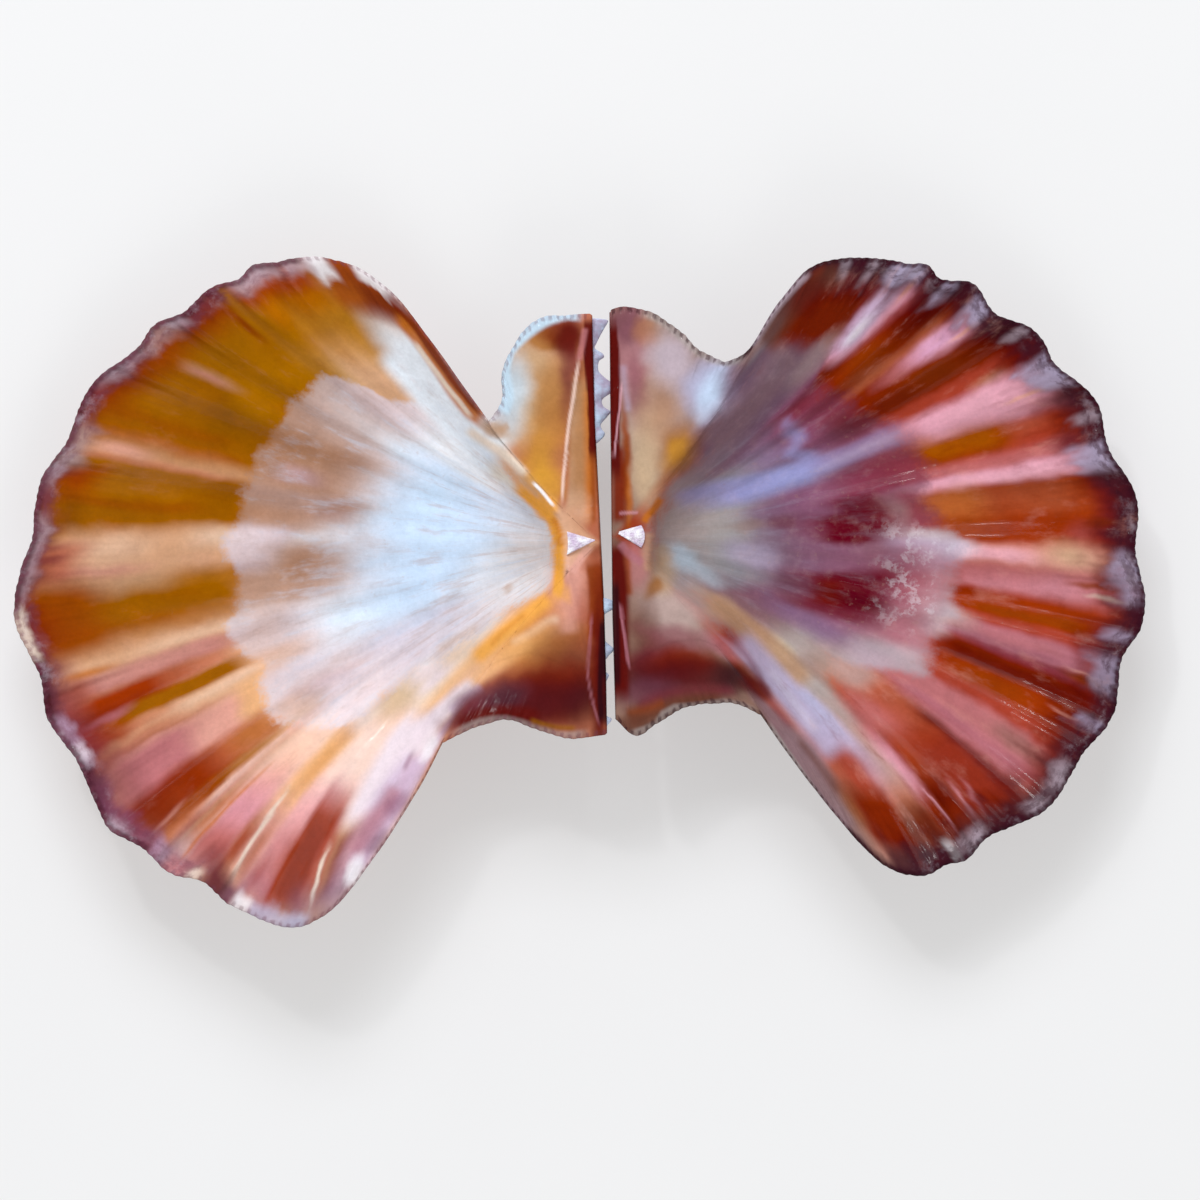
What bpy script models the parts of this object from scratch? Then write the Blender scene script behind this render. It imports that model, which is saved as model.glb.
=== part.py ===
"""A scallop shell laid open: its two valves with their insides up, hinge to hinge,
and the piece of ligament that is left in the pit of each hinge.

Each valve is worked out in millimetres in its own frame: a runs from the hinge line
across the disc, b runs along the hinge line towards the front ear, and z is up out
of the dish. Its origin is the beak, the oldest point of the shell, from which every
rib starts. The model is then placed in metres with its origin in the middle of its
footprint, at the height of the ground.
"""

import math

import bmesh
import bpy
import numpy as np
from mathutils import Euler

MM = 0.001

# Columns run from the beak to the rim, and rows are stages of growth.
FRONT_EAR_COLUMNS = 9
DISC_COLUMNS = 50
BACK_EAR_COLUMNS = 8
GROWTH = np.array((
    0, 0.02, 0.04, 0.065, 0.095, 0.13, 0.18, 0.245, 0.32,
    0.4, 0.49, 0.58, 0.67, 0.76, 0.84, 0.92, 1.0,
))

# Ribs leave the beak in a narrow fan and turn outwards as the shell grows.
FLARE = math.radians(24)
FLARE_RADIUS = 55.0

# The sides of the dish are fuller than a plain fan, up to the fold beside each ear.
SWELL = 0.55
SWELL_END = math.radians(39)
SWELL_FADE = math.radians(9)

# The wall is thick at the beak and thin at the rim.
RIM_WALL = 1.0
BEAK_WALL = 2.6
WALL_FADE = 12.0

# Height of the ribs at the rim, inside and outside.
RIB_INSIDE = 0.40
RIB_OUTSIDE = 0.60

# The hinge plate: a strip along the hinge line that narrows towards its ends.
PLATE_LEVEL = -0.35
PLATE_WIDTH = 4.4
PLATE_TAPER = 0.13
PLATE_EDGE = 1.3

# The ligament: a small wedge in its pit, with a fitting gap round it.
LIGAMENT_THICK = 0.9
LIGAMENT_PROUD = 0.1
FIT_GAP = 0.3
PIT_CLEARANCE_ABOVE = 2.0

RIGHT_VALVE = {
    "name": "right_valve",
    "side": -1,
    "beak": (1.9, 5.0),
    "lean": (-4.6, -4.4),
    "coil": 0.41,
    "lobe": 0.3,
    # The rim, as points of a smooth curve: ear corner to byssal notch, disc, back ear.
    "front_ear": (
        (0.0, 22.7), (3.0, 22.6), (5.8, 22.4), (8.0, 20.4), (9.8, 17.1), (9.9, 14.3), (11.4, 11.9),
    ),
    "disc": (
        (11.4, 11.9), (14.2, 15.7), (17.7, 20.5), (21.6, 25.2), (26.4, 28.0), (33.1, 28.0),
        (40.7, 24.2), (48.0, 18.7), (53.3, 11.8), (56.8, 3.0), (58.6, -6.0), (56.1, -14.8),
        (52.4, -22.8), (47.2, -30.0), (39.8, -34.2), (32.5, -38.0), (27.6, -36.8), (22.9, -31.1),
        (18.6, -24.4), (16.2, -19.8),
    ),
    "back_ear": (
        (16.2, -19.8), (12.8, -18.2), (9.6, -17.5), (6.4, -18.5), (3.2, -19.3), (0.0, -19.0),
    ),
    "hinge_line": ((-20.0, -0.2), (-13.0, -0.4), (-6.0, 0.3), (2.0, 0.7), (16.0, 0.8), (23.0, 0.2)),
    # Troughs and crests of the inside, by turns, as directions at the rim in degrees.
    "ribs": (
        -49.0, -45.5, -41.0, -37.0, -33.8, -29.0, -22.5, -17.5, -13.0, -7.0, -0.5, 6.5,
        11.0, 17.5, 23.0, 26.5, 30.0, 34.5, 38.0, 41.5, 46.0,
    ),
    "ligament": (0.8, 3.9, 0.2, -0.15, 1.15),
    "color": (0.83, 0.56, 0.40, 1.0),
}

LEFT_VALVE = {
    "name": "left_valve",
    "side": 1,
    "beak": (3.6, 5.6),
    "lean": (-3.0, 4.8),
    "coil": 0.46,
    "lobe": 0.5,
    "front_ear": (
        (-0.4, 22.4), (1.4, 22.8), (4.2, 22.2), (6.6, 20.4), (8.7, 18.4), (11.3, 17.3),
    ),
    "disc": (
        (11.3, 17.3), (13.8, 18.7), (16.9, 23.5), (20.8, 27.2), (27.0, 27.6), (33.5, 25.9),
        (40.0, 21.6), (46.6, 15.3), (50.4, 8.0), (52.4, 1.0), (52.8, -6.0), (51.0, -13.2),
        (48.2, -20.4), (42.8, -26.8), (37.6, -30.3), (31.0, -33.5), (26.8, -32.4), (22.0, -27.2),
        (17.8, -21.8), (14.9, -17.7),
    ),
    "back_ear": (
        (14.9, -17.7), (12.3, -16.6), (9.4, -16.6), (6.6, -17.1), (4.3, -18.4), (2.0, -19.7), (0.0, -18.2),
    ),
    "hinge_line": ((-18.0, 0.5), (-8.0, 0.1), (2.0, 0.0), (12.0, -0.2), (23.0, -0.4)),
    "ribs": (
        -49.0, -45.0, -40.5, -32.0, -25.0, -19.5, -14.5, -9.0, -1.5, 4.5, 10.5, 15.5,
        21.5, 27.5, 32.5, 37.5, 41.8, 45.5, 49.0,
    ),
    "ligament": (0.3, 3.3, 0.3, -0.05, 1.15),
    "color": (0.55, 0.30, 0.30, 1.0),
}


def clear_scene():
    for old in list(bpy.data.objects):
        bpy.data.objects.remove(old, do_unlink=True)


def step(x):
    """0 below 0, 1 above 1, and a smooth rise between."""
    x = np.clip(x, 0.0, 1.0)
    return x * x * (3.0 - 2.0 * x)


def curve_through(points, count):
    """count + 1 points, evenly spaced, on a smooth (Catmull-Rom) curve through the points."""
    knots = np.array(points, dtype=float)
    ends = np.vstack((2 * knots[0] - knots[1], knots, 2 * knots[-1] - knots[-2]))
    t = np.linspace(0.0, 1.0, 40, endpoint=False)[:, None]
    pieces = []
    for p0, p1, p2, p3 in zip(ends, ends[1:], ends[2:], ends[3:]):
        bend = (2 * p0 - 5 * p1 + 4 * p2 - p3) * t ** 2 + (3 * (p1 - p2) + p3 - p0) * t ** 3
        pieces.append(p1 + 0.5 * ((p2 - p0) * t + bend))
    fine = np.vstack(pieces + [knots[-1:]])
    length = np.concatenate(((0.0,), np.cumsum(np.hypot(*np.diff(fine, axis=0).T))))
    places = np.linspace(0.0, length[-1], count + 1)
    return np.column_stack([np.interp(places, length, fine[:, k]) for k in (0, 1)])


def flared(radius, start):
    """Direction, at a radius, of the line that leaves the beak in the direction start."""
    return start + FLARE * radius / FLARE_RADIUS * np.sign(start) * np.sin(2 * start) ** 2


def start_of(radius, direction):
    """The start whose line passes through a direction at a radius, found by halving."""
    low = np.full_like(direction, -math.pi / 2)
    high = np.full_like(direction, math.pi / 2)
    for _ in range(40):
        middle = (low + high) / 2
        below = flared(radius, middle) < direction
        low = np.where(below, middle, low)
        high = np.where(below, high, middle)
    return (low + high) / 2


def rim_of(valve):
    """The rim from front hinge tip to back hinge tip: its radius, start angle and rib wave.

    The wave is 1 in a trough of the inside, -1 on a crest and 0 on the ears.
    """
    front = curve_through(valve["front_ear"], FRONT_EAR_COLUMNS)
    disc = curve_through(valve["disc"], DISC_COLUMNS)
    back = curve_through(valve["back_ear"], BACK_EAR_COLUMNS)
    rim = np.vstack((front[:-1], disc[:-1], back))
    radius = np.hypot(rim[:, 0], rim[:, 1])
    start = start_of(radius, np.arctan2(rim[:, 1], rim[:, 0]))
    lines = np.radians(valve["ribs"])
    line_starts = start_of(np.full_like(lines, FLARE_RADIUS), lines)
    phase = np.interp(start, line_starts, np.arange(len(lines)))
    on_disc = step((start - line_starts[0]) / math.radians(3)) * step((line_starts[-1] - start) / math.radians(3))
    wave = np.cos(math.pi * (phase - 1)) * on_disc
    return radius + valve["lobe"] * wave, start, wave


def valve_surfaces(valve):
    """The plan place and the inner and outer heights at every row and column.

    A line from the beak to the rim dips to growth * reach * sin(coil * ln(1 / growth)) under
    the rim, which is how a shell that grows and slowly turns about its hinge curves.
    """
    radius, start, wave = rim_of(valve)
    growth = GROWTH[:, None]
    distance = growth * radius
    direction = flared(distance, start)
    a = distance * np.cos(direction)
    b = distance * np.sin(direction)

    reach = radius * np.cos(flared(radius, start))
    turn = np.minimum(valve["coil"] * np.log(1 / np.maximum(growth, 1e-6)), math.pi / 2)
    swell = 1 + SWELL * np.sin(2 * start) ** 2 * step((SWELL_END - np.abs(start)) / SWELL_FADE)
    dish = -growth * reach * swell * np.sin(turn)
    wall = RIM_WALL + (BEAK_WALL - RIM_WALL) * np.exp(-distance / WALL_FADE)

    plate_width = PLATE_WIDTH - PLATE_TAPER * np.abs(b)
    on_plate = step((plate_width - a) / PLATE_EDGE + 0.5)
    inside = dish + (np.maximum(dish, PLATE_LEVEL) - dish) * on_plate
    inside -= RIB_INSIDE * wave * step((growth - 0.25) / 0.75)
    outside = dish - wall - RIB_OUTSIDE * wave * growth

    hinge_b, hinge_a = np.array(valve["hinge_line"]).T
    a = a + np.interp(b, hinge_b, hinge_a) * np.exp(-a / 6.0)
    return a, b, inside, outside


def stitched(valve):
    """One closed mesh: the inside, the outside, the rim between them and the hinge's back."""
    a, b, inside, outside = valve_surfaces(valve)
    rows, columns = a.shape
    top = np.stack((valve["side"] * a, b, inside), axis=-1)
    bottom = np.stack((valve["side"] * a, b, outside), axis=-1)
    number = np.arange(1, 1 + (rows - 1) * columns).reshape(rows - 1, columns)
    number = np.vstack((np.zeros((1, columns), dtype=int), number))
    under = number + number.max() + 1
    points = np.vstack((top[0, :1], top[1:].reshape(-1, 3), bottom[0, :1], bottom[1:].reshape(-1, 3)))

    def quads(first, second, third, fourth):
        return np.stack([part.ravel() for part in (first, second, third, fourth)], axis=1)

    faces = np.vstack((
        quads(number[:-1, :-1], number[1:, :-1], number[1:, 1:], number[:-1, 1:]),
        quads(under[:-1, :-1], under[:-1, 1:], under[1:, 1:], under[1:, :-1]),
        quads(number[-1, :-1], under[-1, :-1], under[-1, 1:], number[-1, 1:]),
        quads(number[:-1, 0], under[:-1, 0], under[1:, 0], number[1:, 0]),
        quads(number[:-1, -1], number[1:, -1], under[1:, -1], under[:-1, -1]),
    ))
    return points, [tuple(dict.fromkeys(face)) for face in faces.tolist()]


def object_from(name, points, faces):
    """A closed, outward-facing mesh object, from points in millimetres."""
    mesh = bpy.data.meshes.new(name)
    mesh.from_pydata((points * MM).tolist(), [], faces)
    work = bmesh.new()
    work.from_mesh(mesh)
    bmesh.ops.recalc_face_normals(work, faces=work.faces)
    bmesh.ops.triangulate(work, faces=work.faces)
    work.to_mesh(mesh)
    work.free()
    made = bpy.data.objects.new(name, mesh)
    bpy.context.scene.collection.objects.link(made)
    return made


def wedge(valve, name, grow, low, high):
    """The ligament's wedge, grown all round by grow: a point at the beak and a bowed base."""
    tip, base, tip_b, base_b, half = valve["ligament"]
    bow = np.linspace(-1.0, 1.0, 7)
    outline = [(tip - grow, tip_b - grow * 0.5), (tip - grow, tip_b + grow * 0.5)]
    outline += [
        (base + grow - 0.35 * x * x, base_b - x * (half + grow)) for x in bow
    ]
    ring = np.array(outline)
    ring[:, 0] *= valve["side"]
    count = len(ring)
    points = np.vstack([np.column_stack((ring, np.full(count, z))) for z in (low, high)])
    sides = [(i, (i + 1) % count, count + (i + 1) % count, count + i) for i in range(count)]
    faces = [tuple(range(count)), tuple(range(2 * count - 1, count - 1, -1))] + sides
    return object_from(name, points, faces)


def finish(made, name, color, roughness):
    material = bpy.data.materials.new(name)
    material.use_nodes = True
    shader = material.node_tree.nodes["Principled BSDF"]
    shader.inputs["Base Color"].default_value = color
    shader.inputs["Roughness"].default_value = roughness
    shader.inputs["Metallic"].default_value = 0.0
    made.data.materials.append(material)


def make_valve(valve):
    """One valve with its ligament, leaning as it comes to rest on its convex outside."""
    shell = object_from(valve["name"], *stitched(valve))
    finish(shell, valve["name"], valve["color"], 0.25)

    top = PLATE_LEVEL + LIGAMENT_PROUD
    floor = top - LIGAMENT_THICK
    pit = wedge(valve, valve["name"] + "_pit", FIT_GAP, floor - FIT_GAP, top + PIT_CLEARANCE_ABOVE)
    pit.hide_render = True
    pit.display_type = "WIRE"
    cut = shell.modifiers.new("pit", "BOOLEAN")
    cut.operation = "DIFFERENCE"
    cut.solver = "EXACT"
    cut.object = pit
    ligament = wedge(valve, valve["name"].replace("valve", "ligament"), 0.0, floor, top)
    finish(ligament, ligament.name, (0.86, 0.84, 0.90, 1.0), 0.8)

    turned = Euler((math.radians(valve["lean"][0]), math.radians(valve["lean"][1]), 0.0))
    points = np.empty(len(shell.data.vertices) * 3)
    shell.data.vertices.foreach_get("co", points)
    lowest = (points.reshape(-1, 3) @ np.array(turned.to_matrix()).T)[:, 2].min()
    for made in (shell, pit, ligament):
        made.rotation_euler = turned
        made.location = (valve["beak"][0] * MM, valve["beak"][1] * MM, -lowest)


clear_scene()
make_valve(RIGHT_VALVE)
make_valve(LEFT_VALVE)
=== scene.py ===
"""A scallop shell laid open, hinge to hinge: the looks of its two valves.

Each valve is worked out in millimetres in its own frame, as in the part's source: a runs
from the hinge line across the disc, b runs along the hinge line towards the front ear,
and z is up out of the dish. Its origin is the beak, the oldest point of the shell. The
rim is divided into columns, from the front hinge tip round to the back one. A line
leaves the beak for every column, and growth is the share of the way along it, so growth
0 is the beak and growth 1 the rim. Ribs are counted along the rim by their centre lines:
even numbers are crests of the inside, odd numbers are its troughs.
"""
import math
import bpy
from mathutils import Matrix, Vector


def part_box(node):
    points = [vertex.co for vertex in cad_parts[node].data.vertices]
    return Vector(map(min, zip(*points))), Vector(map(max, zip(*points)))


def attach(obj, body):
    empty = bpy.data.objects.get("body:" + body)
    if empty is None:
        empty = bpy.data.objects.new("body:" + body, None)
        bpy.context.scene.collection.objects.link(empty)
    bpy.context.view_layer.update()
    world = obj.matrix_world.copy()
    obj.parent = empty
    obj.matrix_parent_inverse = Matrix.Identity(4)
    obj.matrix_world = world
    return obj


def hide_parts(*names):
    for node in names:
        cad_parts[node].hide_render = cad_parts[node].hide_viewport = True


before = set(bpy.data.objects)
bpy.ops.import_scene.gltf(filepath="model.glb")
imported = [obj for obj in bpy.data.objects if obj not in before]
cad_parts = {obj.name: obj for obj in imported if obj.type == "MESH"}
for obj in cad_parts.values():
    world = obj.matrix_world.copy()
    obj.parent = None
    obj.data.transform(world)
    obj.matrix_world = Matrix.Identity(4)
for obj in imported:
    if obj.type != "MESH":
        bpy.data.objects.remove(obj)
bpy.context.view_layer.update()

from types import SimpleNamespace

import bpy
import numpy as np

MM = 0.001

# Ribs leave the beak in a narrow fan and turn outwards as the shell grows.
FLARE = math.radians(24)
FLARE_RADIUS = 55.0

# The sides of the dish are fuller than a plain fan, up to the fold beside each ear.
SWELL = 0.55
SWELL_END = math.radians(39)
SWELL_FADE = math.radians(9)

# The wall is thick at the beak and thin at the rim, where it is drawn out to a lip.
RIM_WALL = 1.0
BEAK_WALL = 2.6
WALL_FADE = 12.0
LIP_WALL = 0.42
LIP_FADE = 2.6
LIP_BULGE = 0.16
HINGE_BULGE = 0.28

# Height of the ribs at the rim, inside and outside.
RIB_INSIDE = 0.46
RIB_OUTSIDE = 0.60

# The hinge plate, and the shelf under each ear that ends at the fold into the dish.
PLATE_LEVEL = -0.35
PLATE_WIDTH = 4.4
PLATE_TAPER = 0.13
PLATE_EDGE = 1.3
SHELF_FALL = 0.06
SHELF_START = 5.0
SHELF_END = 24.0
SHELF_FADE = 12.0
SHELF_BLEND = 0.5
FOLD_PIECES = 40
FOLD_WIDTH = 2.8
FOLD_WIDENING = 0.05

# The ligament: a small wedge in its pit.
LIGAMENT_THICK = 0.9
LIGAMENT_PROUD = 0.3

# Columns of the rim, and the rows of the inside: growth at the start and end of a band,
# its rows, how far they crowd towards its end, and which columns it keeps.
FRONT_EAR_COLUMNS = 120
DISC_COLUMNS = 736
BACK_EAR_COLUMNS = 104
COLUMNS = FRONT_EAR_COLUMNS + DISC_COLUMNS + BACK_EAR_COLUMNS
BANDS = (
    (0.0, 0.10, 12, 1.0, 8),
    (0.10, 0.42, 36, 1.0, 4),
    (0.42, 0.84, 58, 1.0, 2),
    (0.84, 1.0, 26, 0.75, 1),
)

# Pigments, as sRGB.
PIGMENTS = {
    "milk": "DFE3E9",
    "foam": "EAF2FA",
    "ice": "C6DCF4",
    "glacier": "BFD6E6",
    "white": "F2F1F4",
    "cream": "ECDCCB",
    "ivory": "E9DFC0",
    "blush": "E6D8DF",
    "shell": "F1D3C6",
    "frost": "B4BAD6",
    "pearl": "C2B2BE",
    "orchid": "C9B3CE",
    "lilac": "B6ABC5",
    "steel": "9899C7",
    "slate": "8E959D",
    "fog": "A99F9B",
    "smoke": "AD8C7C",
    "haze": "BEA6A0",
    "taupe": "8A6A5C",
    "umber": "63382A",
    "walnut": "9E7052",
    "cinder": "8A7075",
    "sand": "C9AC88",
    "tan": "B58F70",
    "peach": "D8A988",
    "apricot": "EDB888",
    "salmon": "E3A89A",
    "petal": "E8AEBB",
    "blossom": "E2B2D6",
    "pink": "DEA3B3",
    "rose": "BC777A",
    "mallow": "AB6C78",
    "coral": "A24638",
    "clay": "B56B4F",
    "caramel": "A66B30",
    "honey": "AE7730",
    "ochre": "925507",
    "olive": "88520A",
    "gold": "DBA02E",
    "yellow": "E8AE1C",
    "amber": "E8A348",
    "orange": "BE6A1E",
    "rust": "8C3D0E",
    "brick": "963A20",
    "chestnut": "76220A",
    "maroon": "5A100C",
    "garnet": "6A2430",
    "crimson": "5F0F1E",
    "wine": "80394A",
    "mauve": "85506A",
    "dusk": "70546A",
    "heather": "8A7192",
    "plum": "6B3A48",
    "ink": "38141F",
    "soot": "200A12",
}

RIGHT_VALVE = {
    "name": "right_valve",
    "side": -1,
    "lean": (-4.6, -4.4),
    "coil": 0.41,
    "lobe": 0.42,
    # The rim, as points of a smooth curve: ear corner to byssal notch, disc, back ear.
    "front_ear": (
        (0.0, 22.7), (3.0, 22.6), (5.8, 22.4), (8.0, 20.4), (9.8, 17.1), (9.9, 14.3), (11.4, 11.9),
    ),
    "disc": (
        (11.4, 11.9), (14.2, 15.7), (17.7, 20.5), (21.6, 25.2), (26.4, 28.0), (33.1, 28.0),
        (40.7, 24.2), (48.0, 18.7), (53.3, 11.8), (56.8, 3.0), (58.6, -6.0), (56.1, -14.8),
        (52.4, -22.8), (47.2, -30.0), (39.8, -34.2), (32.5, -38.0), (27.6, -36.8), (22.9, -31.1),
        (18.6, -24.4), (16.2, -19.8),
    ),
    "back_ear": (
        (16.2, -19.8), (12.8, -18.2), (9.6, -17.5), (6.4, -18.5), (3.2, -19.3), (0.0, -19.0),
    ),
    "hinge_line": ((-20.0, 0.0), (-13.0, 0.1), (-6.0, 0.3), (2.0, 0.7), (12.0, 1.2), (23.0, 1.5)),
    "ribs": (
        -49.0, -45.5, -41.0, -37.0, -33.8, -29.0, -22.5, -17.5, -13.0, -7.0, -0.5, 6.5,
        11.0, 17.5, 23.0, 26.5, 30.0, 34.5, 38.0, 41.5, 46.0,
    ),
    # The fold where the shelf under the ears drops into the dish, from front to back.
    "fold": (
        (40.0, 32.0), (26.0, 23.0), (17.0, 15.0), (13.7, 11.6), (10.9, 8.1), (8.2, 5.2), (6.0, 2.7),
        (5.1, 0.3), (4.9, -2.2), (5.6, -4.2), (8.2, -5.9), (11.6, -8.4), (16.7, -11.5), (20.7, -14.2),
        (25.6, -18.7), (40.0, -32.0),
    ),
    # Raised lines of the hinge plate and the ears: points, height and half width.
    "ridges": (
        (((4.2, 2.4), (4.2, 5.0), (3.7, 10.8), (2.6, 17.0), (1.4, 22.2)), 0.24, 0.30),
        (((4.6, 2.6), (5.6, 4.1), (7.0, 5.8)), 0.24, 0.22),
        (((7.0, 5.8), (8.6, 7.6), (11.6, 11.6), (14.2, 14.4), (17.0, 18.6)), 0.22, 0.45),
        (((4.1, -1.4), (2.9, -6.5), (1.8, -13.0), (1.2, -19.2)), 0.18, 0.30),
    ),
    "ligament": (0.8, 3.75, 0.25, -0.07, 1.17, -0.1),
    # How far the ribs of the inside stand out, at a few ribs.
    "rib_share": ((4.0, 8.0, 12.0, 16.0), (1.25, 1.0, 0.6, 0.42)),
}

LEFT_VALVE = {
    "name": "left_valve",
    "side": 1,
    "lean": (-3.0, 4.8),
    "coil": 0.46,
    "lobe": 0.5,
    "front_ear": (
        (-0.4, 22.4), (1.4, 22.8), (4.2, 22.2), (6.6, 20.4), (8.7, 18.4), (11.3, 17.3),
    ),
    "disc": (
        (11.3, 17.3), (13.8, 18.7), (16.9, 23.5), (20.8, 27.2), (27.0, 27.6), (33.5, 25.9),
        (40.0, 21.6), (46.6, 15.3), (50.4, 8.0), (52.4, 1.0), (52.8, -6.0), (51.0, -13.2),
        (48.2, -20.4), (42.8, -26.8), (37.6, -30.3), (31.0, -33.5), (26.8, -32.4), (22.0, -27.2),
        (17.8, -21.8), (14.9, -17.7),
    ),
    "back_ear": (
        (14.9, -17.7), (12.3, -16.6), (9.4, -16.6), (6.6, -17.1), (4.3, -18.4), (2.0, -19.7), (0.0, -18.2),
    ),
    "hinge_line": ((-18.0, 0.6), (-8.0, 0.3), (2.0, 0.2), (12.0, 0.1), (23.0, 0.0)),
    "ribs": (
        -49.0, -45.0, -40.5, -32.0, -25.0, -19.5, -14.5, -9.0, -1.5, 4.5, 10.5, 15.5,
        21.5, 27.5, 32.5, 37.5, 41.8, 45.5, 49.0,
    ),
    "fold": (
        (34.0, 36.0), (22.0, 25.0), (15.8, 18.0), (12.6, 13.4), (9.0, 9.5), (6.2, 5.4), (4.7, 2.6),
        (3.9, 0.3), (3.8, -2.6), (4.9, -5.0), (8.6, -6.6), (11.7, -8.7), (14.6, -12.2), (18.0, -17.0),
        (32.0, -34.0),
    ),
    "ridges": (
        (((0.7, 15.7), (0.35, 11.5), (0.15, 7.6)), 0.16, 0.22),
        (((4.0, -4.0), (9.0, -7.4), (13.0, -11.0), (16.0, -15.0)), 0.14, 0.7),
        (((1.6, -18.6), (1.5, -13.5), (0.9, -7.0)), 0.16, 0.24),
    ),
    "ligament": (0.3, 2.9, 0.42, 0.02, 1.12, 0.36),
    "rib_share": ((4.0, 8.0, 12.0, 16.0), (1.15, 1.0, 0.8, 0.6)),
}


# ---------------------------------------------------------------- sums on whole arrays

def step(x):
    """0 below 0, 1 above 1, and a smooth rise between: 3x squared less 2x cubed."""
    x = np.clip(x, 0.0, 1.0)
    return x * x * (3.0 - 2.0 * x)


def hump(x):
    """1 at 0, falling to 0 on both sides as a bell: e to minus x squared."""
    return np.exp(-np.square(x))


def noise(x, y, seed):
    """Smooth noise from -1 to 1: a random number at every whole place, blended between."""
    size = 256
    table = np.random.default_rng(seed).random((size, size)) * 2 - 1
    column, row = np.floor(x).astype(int), np.floor(y).astype(int)
    across, along = step(x - column), step(y - row)
    corner = [
        [table[(column + i) % size, (row + k) % size] for i in (0, 1)]
        for k in (0, 1)
    ]
    near, far = (low + (high - low) * across for low, high in corner)
    return near + (far - near) * along


def clouds(x, y, seed, octaves=3):
    """Noise on noise: each layer twice as fine and half as strong as the one before."""
    total = sum(noise(x * 2 ** k, y * 2 ** k, seed + k) / 2 ** k for k in range(octaves))
    return total / (2 - 2.0 ** (1 - octaves))


def curve_through(points, count):
    """count + 1 points, evenly spaced, on a smooth (Catmull-Rom) curve through the points."""
    knots = np.array(points, dtype=float)
    ends = np.vstack((2 * knots[0] - knots[1], knots, 2 * knots[-1] - knots[-2]))
    t = np.linspace(0.0, 1.0, 40, endpoint=False)[:, None]
    pieces = []
    for p0, p1, p2, p3 in zip(ends, ends[1:], ends[2:], ends[3:]):
        bend = (2 * p0 - 5 * p1 + 4 * p2 - p3) * t ** 2 + (3 * (p1 - p2) + p3 - p0) * t ** 3
        pieces.append(p1 + 0.5 * ((p2 - p0) * t + bend))
    fine = np.vstack(pieces + [knots[-1:]])
    length = np.concatenate(((0.0,), np.cumsum(np.hypot(*np.diff(fine, axis=0).T))))
    places = np.linspace(0.0, length[-1], count + 1)
    return np.column_stack([np.interp(places, length, fine[:, k]) for k in (0, 1)])


def near_line(a, b, points, count=12):
    """Distance from a smooth line, the share of the way along it, and which side is left."""
    line = curve_through(points, count)
    best = np.full(a.shape, 1e9)
    along = np.zeros(a.shape)
    side = np.ones(a.shape)
    for k, (start, end) in enumerate(zip(line, line[1:])):
        run, rise = end - start
        length = run * run + rise * rise
        share = np.clip(((a - start[0]) * run + (b - start[1]) * rise) / length, 0.0, 1.0)
        across, up = a - start[0] - share * run, b - start[1] - share * rise
        apart = np.hypot(across, up)
        closer = apart < best
        best = np.where(closer, apart, best)
        along = np.where(closer, (k + share) / count, along)
        side = np.where(closer, np.sign(run * up - rise * across), side)
    return best, along, side


# ---------------------------------------------------------------- the growth fan

def flared(radius, start):
    """Direction, at a radius, of the line that leaves the beak in the direction start."""
    return start + FLARE * radius / FLARE_RADIUS * np.sign(start) * np.sin(2 * start) ** 2


def start_of(radius, direction):
    """The start whose line passes through a direction at a radius, found by halving."""
    low = np.full_like(direction, -math.pi / 2)
    high = np.full_like(direction, math.pi / 2)
    for _ in range(40):
        middle = (low + high) / 2
        below = flared(radius, middle) < direction
        low = np.where(below, middle, low)
        high = np.where(below, high, middle)
    return (low + high) / 2


# One rib count on a flank, and how softly the outer ribs fade into it.
FLANK_PITCH = math.radians(3.5)
RIB_FADE = math.radians(3)

# The rim in plan: its teeth, and a ragged wander that fades out at the hinge corners.
TOOTH_PITCH = 0.85
TOOTH_REACH = 0.035
RAGGED = 0.24
RAGGED_PACE = 0.35
CORNER = 1.0
CORNER_FADE = 3.0

# How soon the bow of the hinge line fades out across the disc.
HINGE_REACH = 6.0


def fan_of(valve):
    """For every column: the rim's radius and arc length, the line's start, and its rib.

    The rib count runs on past the outer ribs, one for each FLANK_PITCH. The wave is 1 in a
    trough of the inside, -1 on a crest and 0 on the ears, and it also waves the rim.
    """
    front = curve_through(valve["front_ear"], FRONT_EAR_COLUMNS)
    disc = curve_through(valve["disc"], DISC_COLUMNS)
    back = curve_through(valve["back_ear"], BACK_EAR_COLUMNS)
    rim = np.vstack((front[:-1], disc[:-1], back))
    radius = np.hypot(rim[:, 0], rim[:, 1])
    start = start_of(radius, np.arctan2(rim[:, 1], rim[:, 0]))
    arc = np.concatenate(((0.0,), np.cumsum(np.hypot(*np.diff(rim, axis=0).T))))
    lines = np.radians(valve["ribs"])
    lines = start_of(np.full_like(lines, FLARE_RADIUS), lines)
    on_disc = step((start - lines[0]) / RIB_FADE) * step((lines[-1] - start) / RIB_FADE)
    rib = np.interp(start, lines, np.arange(len(lines)))
    rib += (np.minimum(start - lines[0], 0) + np.maximum(start - lines[-1], 0)) / FLANK_PITCH
    wave = np.cos(math.pi * (rib - 1)) * on_disc
    teeth = np.cos(2 * math.pi * arc / TOOTH_PITCH) * TOOTH_REACH
    ragged = RAGGED * clouds(arc * RAGGED_PACE, arc * 0, 11, 4)
    from_corner = step((arc - CORNER) / CORNER_FADE) * step((arc[-1] - CORNER - arc) / CORNER_FADE)
    radius = radius + valve["lobe"] * wave + (teeth + ragged) * from_corner
    notches = start[FRONT_EAR_COLUMNS], start[FRONT_EAR_COLUMNS + DISC_COLUMNS]
    return {
        "radius": radius, "start": start, "arc": arc, "rib": rib, "wave": wave, "notches": notches,
    }


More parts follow.
